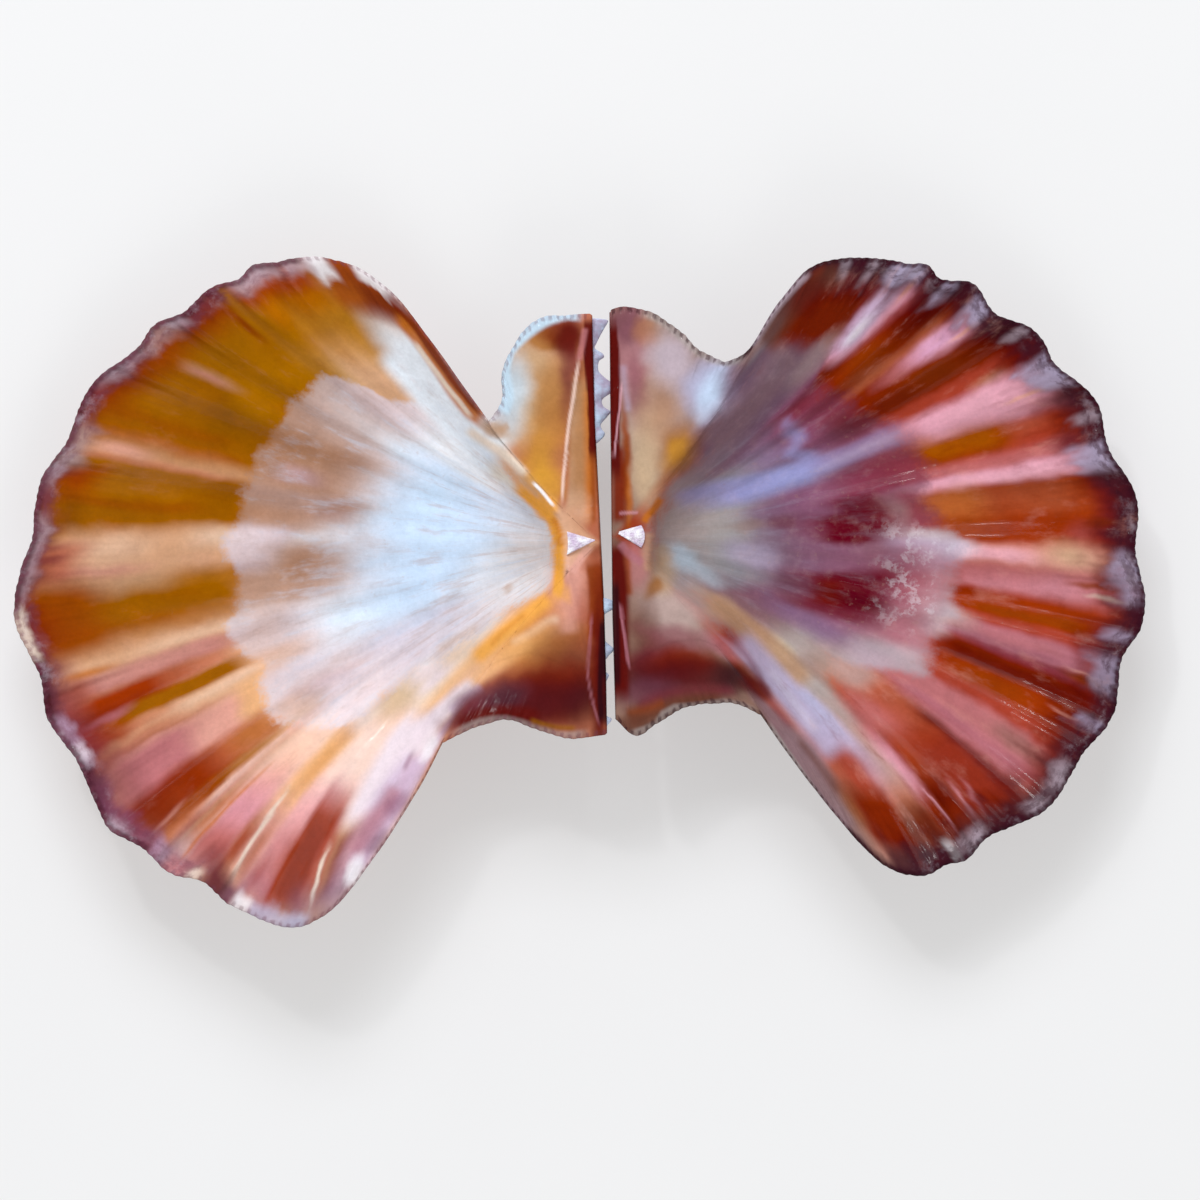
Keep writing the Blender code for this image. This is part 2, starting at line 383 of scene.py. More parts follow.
def spots(valve, column, growth):
    """The points of the fan at these columns and stages of growth, as arrays.

    A line of the fan is distance = growth * radius from the beak in the flared direction.
    The hinge line is bowed in plan, and its bow fades out as e to the -a / HINGE_REACH.
    """
    fan = valve["fan"]
    at = np.arange(COLUMNS + 1)
    column, growth = np.broadcast_arrays(np.asarray(column, float), np.asarray(growth, float))
    radius, start, arc, rib, wave = (
        np.interp(column, at, fan[name]) for name in ("radius", "start", "arc", "rib", "wave")
    )
    distance = growth * radius
    direction = flared(distance, start)
    a, b = distance * np.cos(direction), distance * np.sin(direction)
    hinge_b, hinge_a = np.array(valve["hinge_line"]).T
    a = a + np.interp(b, hinge_b, hinge_a) * np.exp(-a / HINGE_REACH)
    return SimpleNamespace(
        column=column, growth=growth, radius=radius, start=start, arc=arc, rib=rib, wave=wave,
        distance=distance, direction=direction, a=a, b=b, inset=(1 - growth) * radius,
    )


def fold_depth(valve, s):
    """How far inside the fold of the shelf a point lies, in mm: its distance, with a sign."""
    apart, _, side = near_line(s.a, s.b, valve["fold"], FOLD_PIECES)
    return apart * side


def ear_share(valve, s):
    """0 on the disc and 1 on the ears, rising over the millimetre at each notch's line."""
    front, back = valve["fan"]["notches"]
    beyond = np.maximum(s.start - front, back - s.start) * s.distance
    return step(beyond + 0.5)


def soft_higher(first, second, blend):
    """The higher of two surfaces, with the corner between them rounded over blend mm."""
    return (first + second + np.sqrt(np.square(first - second) + blend * blend)) / 2


def rib_side(s):
    """0 on the middle line of a crest and 1 in the middle of a trough."""
    return np.abs((s.rib + 1) % 2 - 1)


def dish_height(valve, s):
    """The plain dish: growth * reach * sin(coil * ln(1 / growth)) under the rim's level."""
    reach = s.radius * np.cos(flared(s.radius, s.start))
    turn = np.minimum(valve["coil"] * np.log(1 / np.maximum(s.growth, 1e-6)), math.pi / 2)
    swell = 1 + SWELL * np.sin(2 * s.start) ** 2 * step((SWELL_END - np.abs(s.start)) / SWELL_FADE)
    return -s.growth * reach * swell * np.sin(turn)


# Ribs of the inside: where they start, how square they are by the beak, and how much more
# so at the rim.
RIB_START = 0.22
RIB_SQUARE = 0.4
CREST_SHARPNESS = 1.0

# The thin raised line along both edges of a crest, near the rim.
CREST_EDGE = 0.46
CARINA = 0.20
CARINA_WIDTH = 0.085
CARINA_START = 0.84
CARINA_FADE = 0.10

# Fine riblets, and how fast they follow one another across the ribs.
RIBLET = 0.015
RIBLET_PACE = 7.0

# Rim teeth, tallest on the flanks from this direction on, and the rounded lip.
TOOTH = 0.10
TOOTH_LENGTH = 1.3
FLANK_START = 0.72
LIP_ROUND = 0.22
LIP_LENGTH = 0.9

# The thicker nacre inside the pallial line, and soft ripples left by growth.
CALLUS = 0.07
CALLUS_END = 0.64
RIPPLE = 0.035
RIPPLE_PACE = 34
EAR_RIPPLE = 0.05

# How steeply the strip beside the hinge falls to the hinge edge.
HINGE_FALL = 0.22


def inside_height(valve, s):
    """The inside: dish, shelf under the ears, hinge plate, ribs with sharp edges, rim teeth."""
    dish = dish_height(valve, s)
    s.depth = fold_depth(valve, s)
    s.on_ear = ear_share(valve, s)
    shelf = PLATE_LEVEL - SHELF_FALL * np.maximum(s.distance - SHELF_START, 0)
    off_dish = 1 - step(s.depth / (FOLD_WIDTH + FOLD_WIDENING * s.distance) + 0.5)
    off_dish = off_dish * step((SHELF_END - s.distance) / SHELF_FADE)
    height = dish + (soft_higher(dish, shelf, SHELF_BLEND) - dish) * off_dish
    plate_width = PLATE_WIDTH - PLATE_TAPER * np.abs(s.b)
    on_plate = step((plate_width - s.a) / PLATE_EDGE + 0.5)
    height += (soft_higher(height, PLATE_LEVEL, SHELF_BLEND / 2) - height) * on_plate

    # Ribs: a plain wave by the beak, squared off towards the rim.
    sharp = RIB_SQUARE + CREST_SHARPNESS * step((s.growth - 0.45) / 0.5)
    squared = np.tanh(sharp * s.wave) / np.tanh(sharp)
    rib_height = RIB_INSIDE * np.interp(s.rib, *valve["rib_share"])
    height -= rib_height * squared * step((s.growth - RIB_START) / (1 - RIB_START))
    side = rib_side(s)
    on_ribs = np.minimum(np.abs(s.wave) * 3 + (np.abs(side - 0.5) < 0.3), 1) * (np.abs(s.start) < 1)
    near_rim = step((s.growth - CARINA_START) / CARINA_FADE) * step(s.inset / 1.2 + 0.2)
    uneven = 0.45 + 0.9 * noise(np.floor(s.rib + 0.5) * 2.7 + 0.5, s.growth * 7, 21)
    carina = CARINA * hump((side - CREST_EDGE) / CARINA_WIDTH) * np.clip(uneven, 0, 1.2)
    height += carina * near_rim * on_ribs
    riblets = np.cos(s.rib * RIBLET_PACE + 2 * noise(s.rib, s.growth * 5, 5)) * (1 - s.on_ear)
    height += RIBLET * riblets * step((s.growth - 0.6) / 0.3)

    # Rim teeth, the rounded lip, and the ripples left by growth.
    teeth = np.cos(2 * math.pi * s.arc / TOOTH_PITCH + 2 * noise(s.arc * 0.7, s.arc * 0, 15))
    on_flank = 0.3 + 0.7 * step((np.abs(s.start) - FLANK_START) / 0.12)
    height += TOOTH * teeth * on_flank * step(1 - s.inset / TOOTH_LENGTH)
    height -= LIP_ROUND * np.square(np.clip(1 - s.inset / LIP_LENGTH, 0, 1))
    ripple = clouds(s.growth * RIPPLE_PACE, s.rib * 0.5, 31) * step((s.growth - 0.12) / 0.2)
    height += RIPPLE * ripple * (1 - s.on_ear)
    height += EAR_RIPPLE * clouds(s.a * 0.5, s.b * 0.5, 33) * s.on_ear
    thicker = (1 - step((s.growth - CALLUS_END) / 0.02)) * step((s.growth - 0.3) / 0.2)
    height += CALLUS * thicker

    for points, tall, wide in valve["ridges"]:
        apart, along, _ = near_line(s.a, s.b, points)
        height += tall * hump(apart / wide) * step(along * 8) * step((1 - along) * 5)
    # The strip between an ear's raised line and the hinge edge slopes down to that edge.
    for points, _, _ in (valve["ridges"][0], valve["ridges"][-1]):
        low, high = sorted((points[0][1], points[-1][1]))
        line = np.array(sorted((b, a) for a, b in points))
        ridge_a = np.interp(s.b, line[:, 0], line[:, 1])
        beside = step((s.b - low) / 1.5) * step((high + 1.5 - s.b) / 1.5)
        height -= HINGE_FALL * np.maximum(ridge_a - s.a, 0) * beside
    return height


# The outside: riblets and how many to a crest or a trough, growth lines, and the folds of
# the ears.
OUTER_RIBLET = 0.07
OUTER_RIBLETS = 1.5
GROWTH_LINE = 0.05
GROWTH_LINE_PACE = 46
EAR_FOLD = 0.12
EAR_FOLD_PACE = 34


def outside_height(valve, s):
    """The outside: the dish less the wall, with rounded ribs, fine riblets and growth lines."""
    wall = RIM_WALL + (BEAK_WALL - RIM_WALL) * np.exp(-s.distance / WALL_FADE)
    drawn_out = step(1 - s.inset / LIP_FADE)
    wall += (LIP_WALL - wall) * drawn_out
    height = dish_height(valve, s) - wall - RIB_OUTSIDE * s.wave * s.growth
    height += OUTER_RIBLET * np.cos(s.rib * 2 * math.pi * OUTER_RIBLETS) * s.growth
    height += GROWTH_LINE * clouds(s.growth * GROWTH_LINE_PACE, s.rib * 0.8, 41) * step(s.inset / 0.8)
    ear_folds = np.cos(s.direction * EAR_FOLD_PACE) * ear_share(valve, s)
    height += EAR_FOLD * ear_folds * step(s.distance / 6 - 0.3)
    return np.minimum(height, inside_height(valve, s) - LIP_WALL)


def plan(valve, s):
    """Plan places in the valve's frame."""
    return np.stack((valve["side"] * s.a, s.b), axis=-1)


# ---------------------------------------------------------------- meshes

def quads(number):
    """The four-sided faces of a grid of vertex numbers."""
    corners = number[:-1, :-1], number[1:, :-1], number[1:, 1:], number[:-1, 1:]
    return np.stack([corner.ravel() for corner in corners], axis=1)


def zipper(first, first_at, second, second_at):
    """Triangles between two lines of vertices, taking whichever line's next place comes first."""
    order = np.argsort(np.concatenate((first_at[1:], second_at[1:])), kind="stable")
    from_first = order < len(first) - 1
    i = np.concatenate(((0,), np.cumsum(from_first)))[:-1]
    k = np.concatenate(((0,), np.cumsum(~from_first)))[:-1]
    i_next = np.minimum(i + 1, len(first) - 1)
    k_next = np.minimum(k + 1, len(second) - 1)
    third = np.where(from_first, first[i_next], second[k_next])
    return np.stack((first[i], second[k], third), axis=1)


def volume(points, faces):
    """Six times the volume inside the faces, which is negative if they point inwards."""
    p, q, r = (points[faces[:, k]] for k in range(3))
    total = np.einsum("ij,ij->", p, np.cross(q, r))
    if faces.shape[1] == 4:
        p, q, r = (points[faces[:, k]] for k in (0, 2, 3))
        total += np.einsum("ij,ij->", p, np.cross(q, r))
    return total


def mesh_from(name, points, faces, materials, face_materials=None, attributes=None):
    """A smooth mesh object at the origin. faces is a list of arrays of corners."""
    if sum(volume(points, group) for group in faces) < 0:
        faces = [group[:, ::-1] for group in faces]
    mesh = bpy.data.meshes.new(name)
    mesh.from_pydata(points.tolist(), [], [face for group in faces for face in group.tolist()])
    mesh.polygons.foreach_set("use_smooth", np.ones(len(mesh.polygons), dtype=bool))
    for material in materials:
        mesh.materials.append(material)
    if face_materials is not None:
        mesh.polygons.foreach_set("material_index", face_materials)
    for label, values in (attributes or {}).items():
        kind, field = ("FLOAT_COLOR", "color") if values.shape[1] == 4 else ("FLOAT_VECTOR", "vector")
        layer = mesh.attributes.new(label, kind, "POINT")
        layer.data.foreach_set(field, values.astype(np.float32).ravel())
    mesh.update()
    made = bpy.data.objects.new(name, mesh)
    bpy.context.scene.collection.objects.link(made)
    return made


def rows_of(band):
    """The growth stages of one band of rows."""
    begin, end, count, crowd, _ = band
    share = np.arange(1, count + 1) / count
    return begin + (end - begin) * (1 - (1 - share) ** (1 / crowd))


def banded(valve, height_of, keep):
    """One surface of a valve from its beak to its rim, in bands of finer and finer columns.

    Returns the spots and heights of its points, beak first, its faces, and the numbers of
    its border points: the front hinge edge, the rim and the back hinge edge.
    """
    found, heights, faces, front, back = [], [], [], [], []
    pole = spots(valve, [COLUMNS / 2], [0.0])
    found.append(pole)
    heights.append(height_of(valve, pole))
    first_free = 1
    last_row, last_at = None, None
    for band in BANDS:
        column = np.arange(0, COLUMNS + 1, band[4] * keep)
        growth = rows_of(band)
        grid = spots(valve, column[None, :], growth[:, None])
        height = height_of(valve, grid)
        number = first_free + np.arange(grid.a.size).reshape(grid.a.shape)
        first_free += grid.a.size
        if last_row is None:
            fan = np.zeros(len(column) - 1, dtype=int)
            faces.append(np.stack((fan, number[0, :-1], number[0, 1:]), axis=1))
        else:
            faces.append(zipper(last_row, last_at, number[0], column))
        faces.append(quads(number))
        front.append(number[:, 0])
        back.append(number[:, -1])
        last_row, last_at = number[-1], column
        found.append(grid)
        heights.append(height)
    joined = SimpleNamespace(**{
        name: np.concatenate([np.asarray(getattr(part, name)).ravel() for part in found])
        for name in vars(found[0])
    })
    height = np.concatenate([part.ravel() for part in heights])
    border = np.concatenate(front)[:-1], last_row, last_at, np.concatenate(back)[:-1]
    return joined, height, faces, border


# How much each hinge edge counts for in places along a surface's border.
HINGE_EDGE = 1000.0


def border_loop(border):
    """A surface's border as one line: beak, front hinge edge, rim, back hinge edge, beak.

    Returns the vertex numbers and their places along it.
    """
    front, rim, rim_at, back = border
    beak = np.zeros(1, dtype=int)
    along = np.arange(1, len(front) + 1) / (len(front) + 1) * HINGE_EDGE
    numbers = np.concatenate((beak, front, rim, back[::-1], beak))
    end = 2 * HINGE_EDGE + COLUMNS
    places = np.concatenate(((0.0,), along, HINGE_EDGE + rim_at, end - along[::-1], (end,)))
    return numbers, places


EDGE_ANGLES = (0.9, 0.0, -0.9)


def valve_mesh(valve):
    """The whole valve: inside, outside, and a rounded edge round the rim and the hinge.

    The edge is a half ellipse from the inside to the outside, carried along the border:
    middle + outwards * bulge * cos(angle) + half the wall * sin(angle).
    """
    inner, inner_height, inner_faces, inner_border = banded(valve, inside_height, 1)
    outer, outer_height, outer_faces, outer_border = banded(valve, outside_height, 2)
    top = np.column_stack((plan(valve, inner), inner_height))
    bottom = np.column_stack((plan(valve, outer), outer_height))
    bottom_first = len(top)

    loop, places = border_loop(inner_border)
    under_loop, under_places = border_loop(outer_border)
    rim_top = top[loop]
    under = bottom[under_loop]
    rim_bottom = np.column_stack([np.interp(places, under_places, under[:, k]) for k in range(3)])
    ahead = np.roll(rim_top[:-1], -1, axis=0) - np.roll(rim_top[:-1], 1, axis=0)
    outwards = np.stack((ahead[:, 1], -ahead[:, 0]), axis=1) * -valve["side"]
    outwards /= np.maximum(np.hypot(*outwards.T), 1e-9)[:, None]
    on_rim = (places >= HINGE_EDGE) & (places <= HINGE_EDGE + COLUMNS)
    bulge = np.where(on_rim, LIP_BULGE, HINGE_BULGE)[:-1, None]
    rim_top, rim_bottom = rim_top[:-1], rim_bottom[:-1]
    middle, half = (rim_top + rim_bottom) / 2, (rim_top - rim_bottom) / 2
    edges, edge_numbers = [], [loop[:-1]]
    first_free = bottom_first + len(bottom)
    for angle in EDGE_ANGLES:
        ring = middle + half * math.sin(angle)
        ring[:, :2] += outwards * bulge * math.cos(angle)
        edges.append(ring)
        edge_numbers.append(first_free + np.arange(len(ring)))
        first_free += len(ring)
    ring_numbers = np.array([np.append(row, row[0]) for row in edge_numbers])
    edge_faces = [quads(ring_numbers)]
    last = ring_numbers[-1]
    edge_faces.append(zipper(last, places, bottom_first + under_loop, under_places))

    points = np.vstack([top, bottom] + edges)
    under_faces = [group[:, ::-1] + bottom_first for group in outer_faces]
    faces = inner_faces + edge_faces + under_faces
    is_outside = np.concatenate([
        np.full(len(group), int(kind))
        for kind, groups in ((0, inner_faces + edge_faces), (1, under_faces))
        for group in groups
    ])
    whole = SimpleNamespace()
    for field in ("a", "b", "growth", "radius", "start", "arc", "rib", "distance", "inset"):
        inside, outside = getattr(inner, field), getattr(outer, field)
        edge = [inside[loop[:-1]]] * len(EDGE_ANGLES)
        setattr(whole, field, np.concatenate([inside, outside] + edge))
    whole.depth = fold_depth(valve, whole)
    return points, faces, is_outside, whole


# ---------------------------------------------------------------- pigment

def linear(name):
    """A pigment's colour as linear light."""
    code = PIGMENTS[name]
    shown = np.array([int(code[k:k + 2], 16) / 255 for k in (0, 2, 4)])
    return np.where(shown <= 0.04045, shown / 12.92, ((shown + 0.055) / 1.055) ** 2.4)


# How much softer than written a band's sides and its ends are.
BAND_EDGE = 1.5
BAND_FADE = 1.7


class Coat:
    """Colours laid one over another on the points of a shell, each through a soft mask: mostly the shell's
    own stains, with some painted highlights and painted shade among them.

    The masks are worked out from places that wander a little, so no mark has a ruled edge.
    """

    def __init__(self, s, ground):
        streaks = clouds(s.rib * 2.1, s.growth * 5.0, 51)
        self.rib = s.rib + 0.07 * clouds(s.rib * 1.3, s.growth * 14, 55)
        self.rib = self.rib + 0.03 * noise(s.rib * 5.1, s.growth * 46, 57)
        self.growth = s.growth + 0.009 * streaks + 0.008 * clouds(s.rib * 0.7, s.growth * 9, 61)
        self.steady_a = s.a + 0.06 * clouds(s.a * 0.7, s.b * 0.7, 75)
        self.steady_b = s.b + 0.06 * clouds(s.a * 0.7, s.b * 0.7, 85)
        self.a = s.a + 0.55 * clouds(s.a * 0.45, s.b * 0.45, 71)
        self.b = s.b + 0.55 * clouds(s.a * 0.45, s.b * 0.45, 81)
        self.inset = s.inset * (1 + 0.45 * clouds(s.arc * 0.8, s.inset * 0.5, 91))
        self.color = np.tile(linear(ground), (s.a.size, 1)).reshape(s.a.shape + (3,))

    def lay(self, pigment, mask):
        self.color += (linear(pigment) - self.color) * mask[..., None]

    def lay_all(self, marks):
        """Marks one over another: each gives its kind, then that method's values."""
        for kind, *values in marks:
            getattr(self, kind)(*values)

    def band(self, pigment, growth, left, right, strength=1.0, fade=0.05, edge=0.3):
        """A band along the ribs from one stage of growth to another.

        left and right are its sides: a rib each, or the ribs at its beginning and its end.
        """
        begin, end = growth
        share = (self.growth - begin) / (end - begin)
        sides = (np.broadcast_to(side, 2) for side in (left, right))
        low, high = (first + (last - first) * share for first, last in sides)
        edge, fade = edge * BAND_EDGE, fade * BAND_FADE
        across = step((self.rib - low) / edge + 0.5) * step((high - self.rib) / edge + 0.5)
        grown = step((self.growth - begin) / fade + 0.5) * step((end - self.growth) / fade + 0.5)
        self.lay(pigment, across * grown * strength)

    def rim(self, pigment, left, right, depth, strength=1.0, soft=0.6, edge=0.3):
        """A stretch of the rim between two ribs, down to a depth in mm."""
        across = step((self.rib - left) / edge + 0.5) * step((right - self.rib) / edge + 0.5)
        self.lay(pigment, across * step((depth - self.inset) / soft + 0.5) * strength)

    def patch(self, pigment, place, size, turn=0.0, strength=1.0, edge=0.7):
        """A soft-edged ellipse at place (a, b), with half lengths in mm, turned in degrees."""
        a, b = self.a - place[0], self.b - place[1]
        cos, sin = math.cos(math.radians(turn)), math.sin(math.radians(turn))
        reach = np.hypot((a * cos + b * sin) / size[0], (b * cos - a * sin) / size[1])
        self.lay(pigment, step((1 - reach) / edge + 0.5) * strength)

    def line(self, pigment, points, half, strength=1.0, edge=0.5):
        """A line through points in mm, half its width on either side, with ends that fade."""
        apart, along, _ = near_line(self.steady_a, self.steady_b, points)
        across = step((half - apart) / edge + 0.5)
        self.lay(pigment, across * step(along * 8) * step((1 - along) * 8) * strength)


def of_kind(kind, marks):
    """Marks of one kind, each with its kind in front."""
    return tuple((kind, *mark) for mark in marks)


# Marks are laid in the order given, each over those before it.
# A band: pigment, growth at its two ends, its left side and its right side, strength, and
# how softly its ends and its sides fade. A side is a rib, or two ribs for the two ends.
# A stretch of rim: pigment, its first and last rib, depth in mm, strength and softness.
# A patch: pigment, place, half lengths, turn in degrees, strength and edge.
# A line: pigment, points, half width, strength and edge.
# Places and lengths of patches and lines are in mm, in the valve's frame.
RIGHT_OUTER_BANDS = (
    # Front flank to back flank: the wide stains first.
    ("cream", (.26, .52), (-1.5, -1.2), (2.2, 1.6), .8, .06, .6),
    ("tan", (.3, .54), (-.6, -.4), 1.2, .3, .06, .5),
    # Painted highlight: the pale blush arc at growth .4 to .47 is the bright edge of the fold by the beak.
    ("blush", (.4, .47), (-.6, -.4), (1.8, 1.4), .8, .03, .5),
    ("ochre", (.6, 1.1), 8.1, (17.6, 17.4), 1, .08, .8),
    ("honey", (.55, 1.1), (17, 17.2), (21.6, 20.9), 1, .08, .8),
    ("sand", (.52, .74), (18.1, 18), (20.9, 20.2), .65, .12, .9),
    ("peach", (.52, .74), (18.4, 18.6), (20.8, 20), .75, .1, .7),
    ("amber", (.7, .78), 19, (20.4, 20.2), .25, .06, .5),
    ("caramel", (.74, .93), 18, 20.2, .35, .08, .6),
    ("ochre", (.8, .95), 17, (18.5, 18.3), .55, .08, .4),
    ("rust", (.87, .97), 18.6, (20.4, 20.3), .6, .06, .4),
    # Partly the flank's own pale colour, partly painted light: the foam band is lighter than the stain to
    # make up for the shade on this wall, which faces away from the key lamp.
    ("foam", (.5, .84), (20.4, 20.9), (22.6, 23), .95, .12, .7),
    ("rust", (.855, 1.1), (20.4, 20.3), (22.4, 22.2)),
    ("orange", (.87, .93), 19.2, 21.2, .35, .05, .4),
    ("garnet", (.84, .89), (21, 21.1), 22.3, .4, .03),
    ("maroon", (.88, .95), 21.2, (22.3, 22.2), .4, .03),
    # Troughs and crests 13 to 18.
    ("olive", (.69, .79), (12.6, 12.9), (14.3, 13.9), .9, .08, .6),
    ("honey", (.68, .8), (13.6, 13.9), 17.4, .45, .06, .6),
    ("caramel", (.8, .93), (12.9, 12.8), 13.9, .6, .05, .4),
    ("honey", (.76, .92), 14.7, 16.7, .35, .08, .5),
    ("tan", (.79, .92), (14.3, 14.1), (14.7, 14.6), .55),
    ("rose", (.81, .9), (14.3, 14.2), (14.55, 14.45), .4, .04, .2),
    ("rust", (.92, 1.1), 12.6, 17, .95, .05, .4),
    ("chestnut", (.85, .93), (16.78, 16.75), (16.98, 16.95), .7, .04, .12),
    ("brick", (.92, 1.1), 17.4, (20.2, 20), .85, .03, .4),
    ("orange", (.86, .93), 17.8, 18.6, .5, .04, .4),
    # Crest 12 and trough 11.
    ("caramel", (.73, .93), (10.9, 10.85), (11.85, 11.75), .65, .05, .2),
    ("brick", (.905, .97), (10.85, 10.8), (11.5, 11.4), .75, .04),
    ("rust", (.72, .95), (10.7, 10.72), (10.9, 10.84), .45, .05, .12),
    ("clay", (.7, .985), (11.76, 11.68), (11.98, 11.9), .85, .05, .12),
    ("clay", (.7, .98), (12.22, 12.1), (12.5, 12.4), .4, .05, .2),
    ("peach", (.64, .985), (11.9, 11.82), (12.2, 12.08), .7, .05, .35),
    ("salmon", (.86, .955), (11.9, 11.88), (12.12, 12.1), .6, .05, .12),
    ("rust", (.72, .94), (12.62, 12.6), (12.9, 12.8), .4, .05, .2),
    ("umber", (.92, .955), 10.25, (10.8, 10.75), .5, .03, .2),
    # Crest 10.
    ("caramel", (.6, .8), (9.05, 9.15), (9.75, 9.6), .9, .06, .4),
    ("tan", (.74, .94), (9.15, 9.1), (9.7, 9.5), .85, .06),
    ("peach", (.62, .97), (9.55, 9.3), (10.52, 10.2), .9),
    ("tan", (.69, .76), 9.6, (10.5, 10.4), .3, .04),
    ("cream", (.81, .92), (9.75, 9.7), (10.25, 10.1), .22, .05, .4),
    ("cream", (.62, .72), 10, (10.45, 10.4), .35),
    ("rose", (.8, .93), (9.48, 9.45), (9.66, 9.62), .45, .06, .15),
    ("coral", (.905, .985), 9.35, (10.1, 10.05), .7, .04, .25),
    ("garnet", (.935, .985), 9.7, (9.86, 9.84), .6, .02, .08),
    ("garnet", (.94, .985), 9.96, (10.06, 10.04), .5, .02, .08),
    # Trough 9 and crest 8.
    ("rust", (.86, 1.1), (8.15, 8.1), (9.35, 9.3), .85, .06),
    ("chestnut", (.93, 1.1), 8.3, 9, .5, .04),
    ("rust", (.72, .9), (8.35, 8.3), (8.6, 8.55), .35, .06, .2),
    ("peach", (.55, .975), (7.6, 7.65), (8.1, 7.94), .85),
    ("cream", (.62, .82), 7.8, (8.1, 8), .25, .06),
    ("rose", (.66, .96), (7.12, 7.1), (7.72, 7.58), .75, .06, .25),
    ("salmon", (.7, .92), 7.3, (7.66, 7.56), .45, .05, .2),
    ("orange", (.88, .965), (7.62, 7.6), (7.8, 7.78), .7, .04, .12),
    ("brick", (.92, .985), (7.02, 7), (7.6, 7.55), .7, .03, .2),
    ("chestnut", (.93, 1.1), 5.8, 7, .5, .04),
    # Trough 7 and crest 6.
    ("clay", (.67, .8), (6.7, 6.65), (7.2, 7.15), .9, .05, .25),
    ("brick", (.77, .985), (6.5, 6.45), (7.18, 7.1), 1, .08, .2),
    ("chestnut", (.8, .985), (6.45, 6.4), (6.8, 6.75), .5, .06, .2),
    ("ochre", (.66, .97), (6.32, 6.12), (6.82, 6.52), 1, .05, .16),
    # Painted highlight: a thin pink line on the crest edge near the rim.
    ("mallow", (.88, .975), (6.48, 6.42), (6.66, 6.56), .75, .04, .1),
    ("peach", (.6, .975), (5.92, 5.9), (6.32, 6.14), .9, .06, .24),
    ("cream", (.64, .84), (6.02, 5.98), (6.24, 6.1), .3, .06, .2),
    ("clay", (.82, .97), 5.98, (6.3, 6.2), .65, .06, .16),
    ("brick", (.9, 1.1), 6, (6.5, 6.45), .85, .05, .16),
    ("wine", (.945, 1.1), 5.8, 8.1, .5, .03),
    ("clay", (.8, .97), (5.72, 5.7), (5.98, 5.92), .7, .08, .12),
    ("caramel", (.74, .94), (5.74, 5.72), (5.84, 5.8), .6, .05, .06),
    ("wine", (.9, 1.1), 4.9, 5.9, .5, .06, .25),
    # Trough 5 and crest 4.
    ("rose", (.76, .975), (4.7, 4.65), (5.74, 5.7), 1, .08),
    ("salmon", (.69, .8), (4.8, 4.75), 5.72, .9),
    ("apricot", (.645, .705), (4.3, 4.4), (5.95, 5.9), .9, .025),
    ("clay", (.66, .86), 4.05, (5.02, 4.95), 1, .05, .25),
    ("caramel", (.66, .76), 4.1, 4.9, .5),
    ("brick", (.78, .99), 4.08, (4.98, 4.92), .9, .08, .25),
    ("chestnut", (.8, 1.1), 4, (4.95, 4.9), .65, .06, .25),
    ("maroon", (.915, 1.1), 3.9, 6.9, .35),
    ("rust", (.76, .965), 3.78, (4.2, 4.14), 1, .08, .16),
    ("caramel", (.69, .8), (3.84, 3.82), (4.14, 4.12), .8, .06, .2),
    # Painted highlight: a thin pale pink line on the crest edge near the rim.
    ("salmon", (.9, .965), (4.18, 4.14), (4.25, 4.2), .35, .03, .06),
    ("salmon", (.6, .965), 3.36, (3.82, 3.72), 1, .06, .14),
    ("clay", (.87, 1.1), 3, (4, 3.95), .75, .06),
    ("cream", (.66, .88), 3.5, (3.76, 3.68), .4, .05, .12),
    # Trough 3, crest 2, trough 1 and crest 0.
    ("peach", (.68, .97), 2.96, (3.44, 3.38), 1, .05, .16),
    ("clay", (.7, .97), (3.06, 3.02), (3.34, 3.3), .75, .06, .16),
    ("apricot", (.66, .75), 2, 3.6, .6, .05, .4),
    ("shell", (.56, .79), 1.8, (3.6, 3.5), .6, .08, .4),
    ("rose", (.78, .97), 1.95, (2.98, 2.92), .9, .07, .25),
    ("pink", (.76, .88), (2.1, 2.05), (3, 2.95), .55, .06),
    ("pearl", (.93, 1.1), 2.3, 3.5, .5, .04),
    ("salmon", (.7, .8), 1.85, (3.05, 2.98), .5, .08),
    ("orange", (.75, .97), (2.9, 2.88), (3, 2.96), .7, .05, .06),
    ("coral", (.9, .985), (1.95, 1.9), (2.95, 2.9), .6, .04, .25),
    ("garnet", (.93, .985), (1.95, 1.9), (2.55, 2.5), .6, .03, .25),
    ("salmon", (.72, .96), (1.2, 1.15), (1.95, 1.72), .9, .06, .2),
    ("apricot", (.61, .8), .95, (1.95, 1.9), .9, .05, .35),
    ("white", (.53, .6), 1, (2.2, 2), .5, .03, .4),
    ("amber", (.64, .75), 1.05, (1.75, 1.7), .35, .05, .35),
    ("brick", (.85, .975), (1.68, 1.62), (2.06, 1.98), .9, .06, .2),
    ("clay", (.84, .96), (1.18, 1.15), (1.5, 1.42), .75, .05, .16),
    # Painted highlight: a thin pale line on the crest edge near the rim.
    ("cream", (.78, .965), (1.7, 1.42), (1.82, 1.52), .85, .04, .06),
    ("salmon", (.7, .98), (-.1, -.2), (1.25, 1.15), 1, .08, .2),
    ("rose", (.81, .97), (.05, -.05), (1.2, 1.12), .85, .06, .25),
    ("shell", (.54, .74), (-.9, -.6), 1.1, .9, .06, .4),
    ("sand", (.44, .56), 0, 1.4, .45, .05, .4),
    ("pink", (.72, .82), -.3, 1.1, .4, .05, .4),
    ("brick", (.905, .965), (.7, .75), (1.16, 1.12), .55, .04, .2),
    ("rose", (.7, .82), (-.55, -.6), (.5, .4), .7),
    ("coral", (.83, .98), (-.1, -.2), (.6, .5), .6, .06),
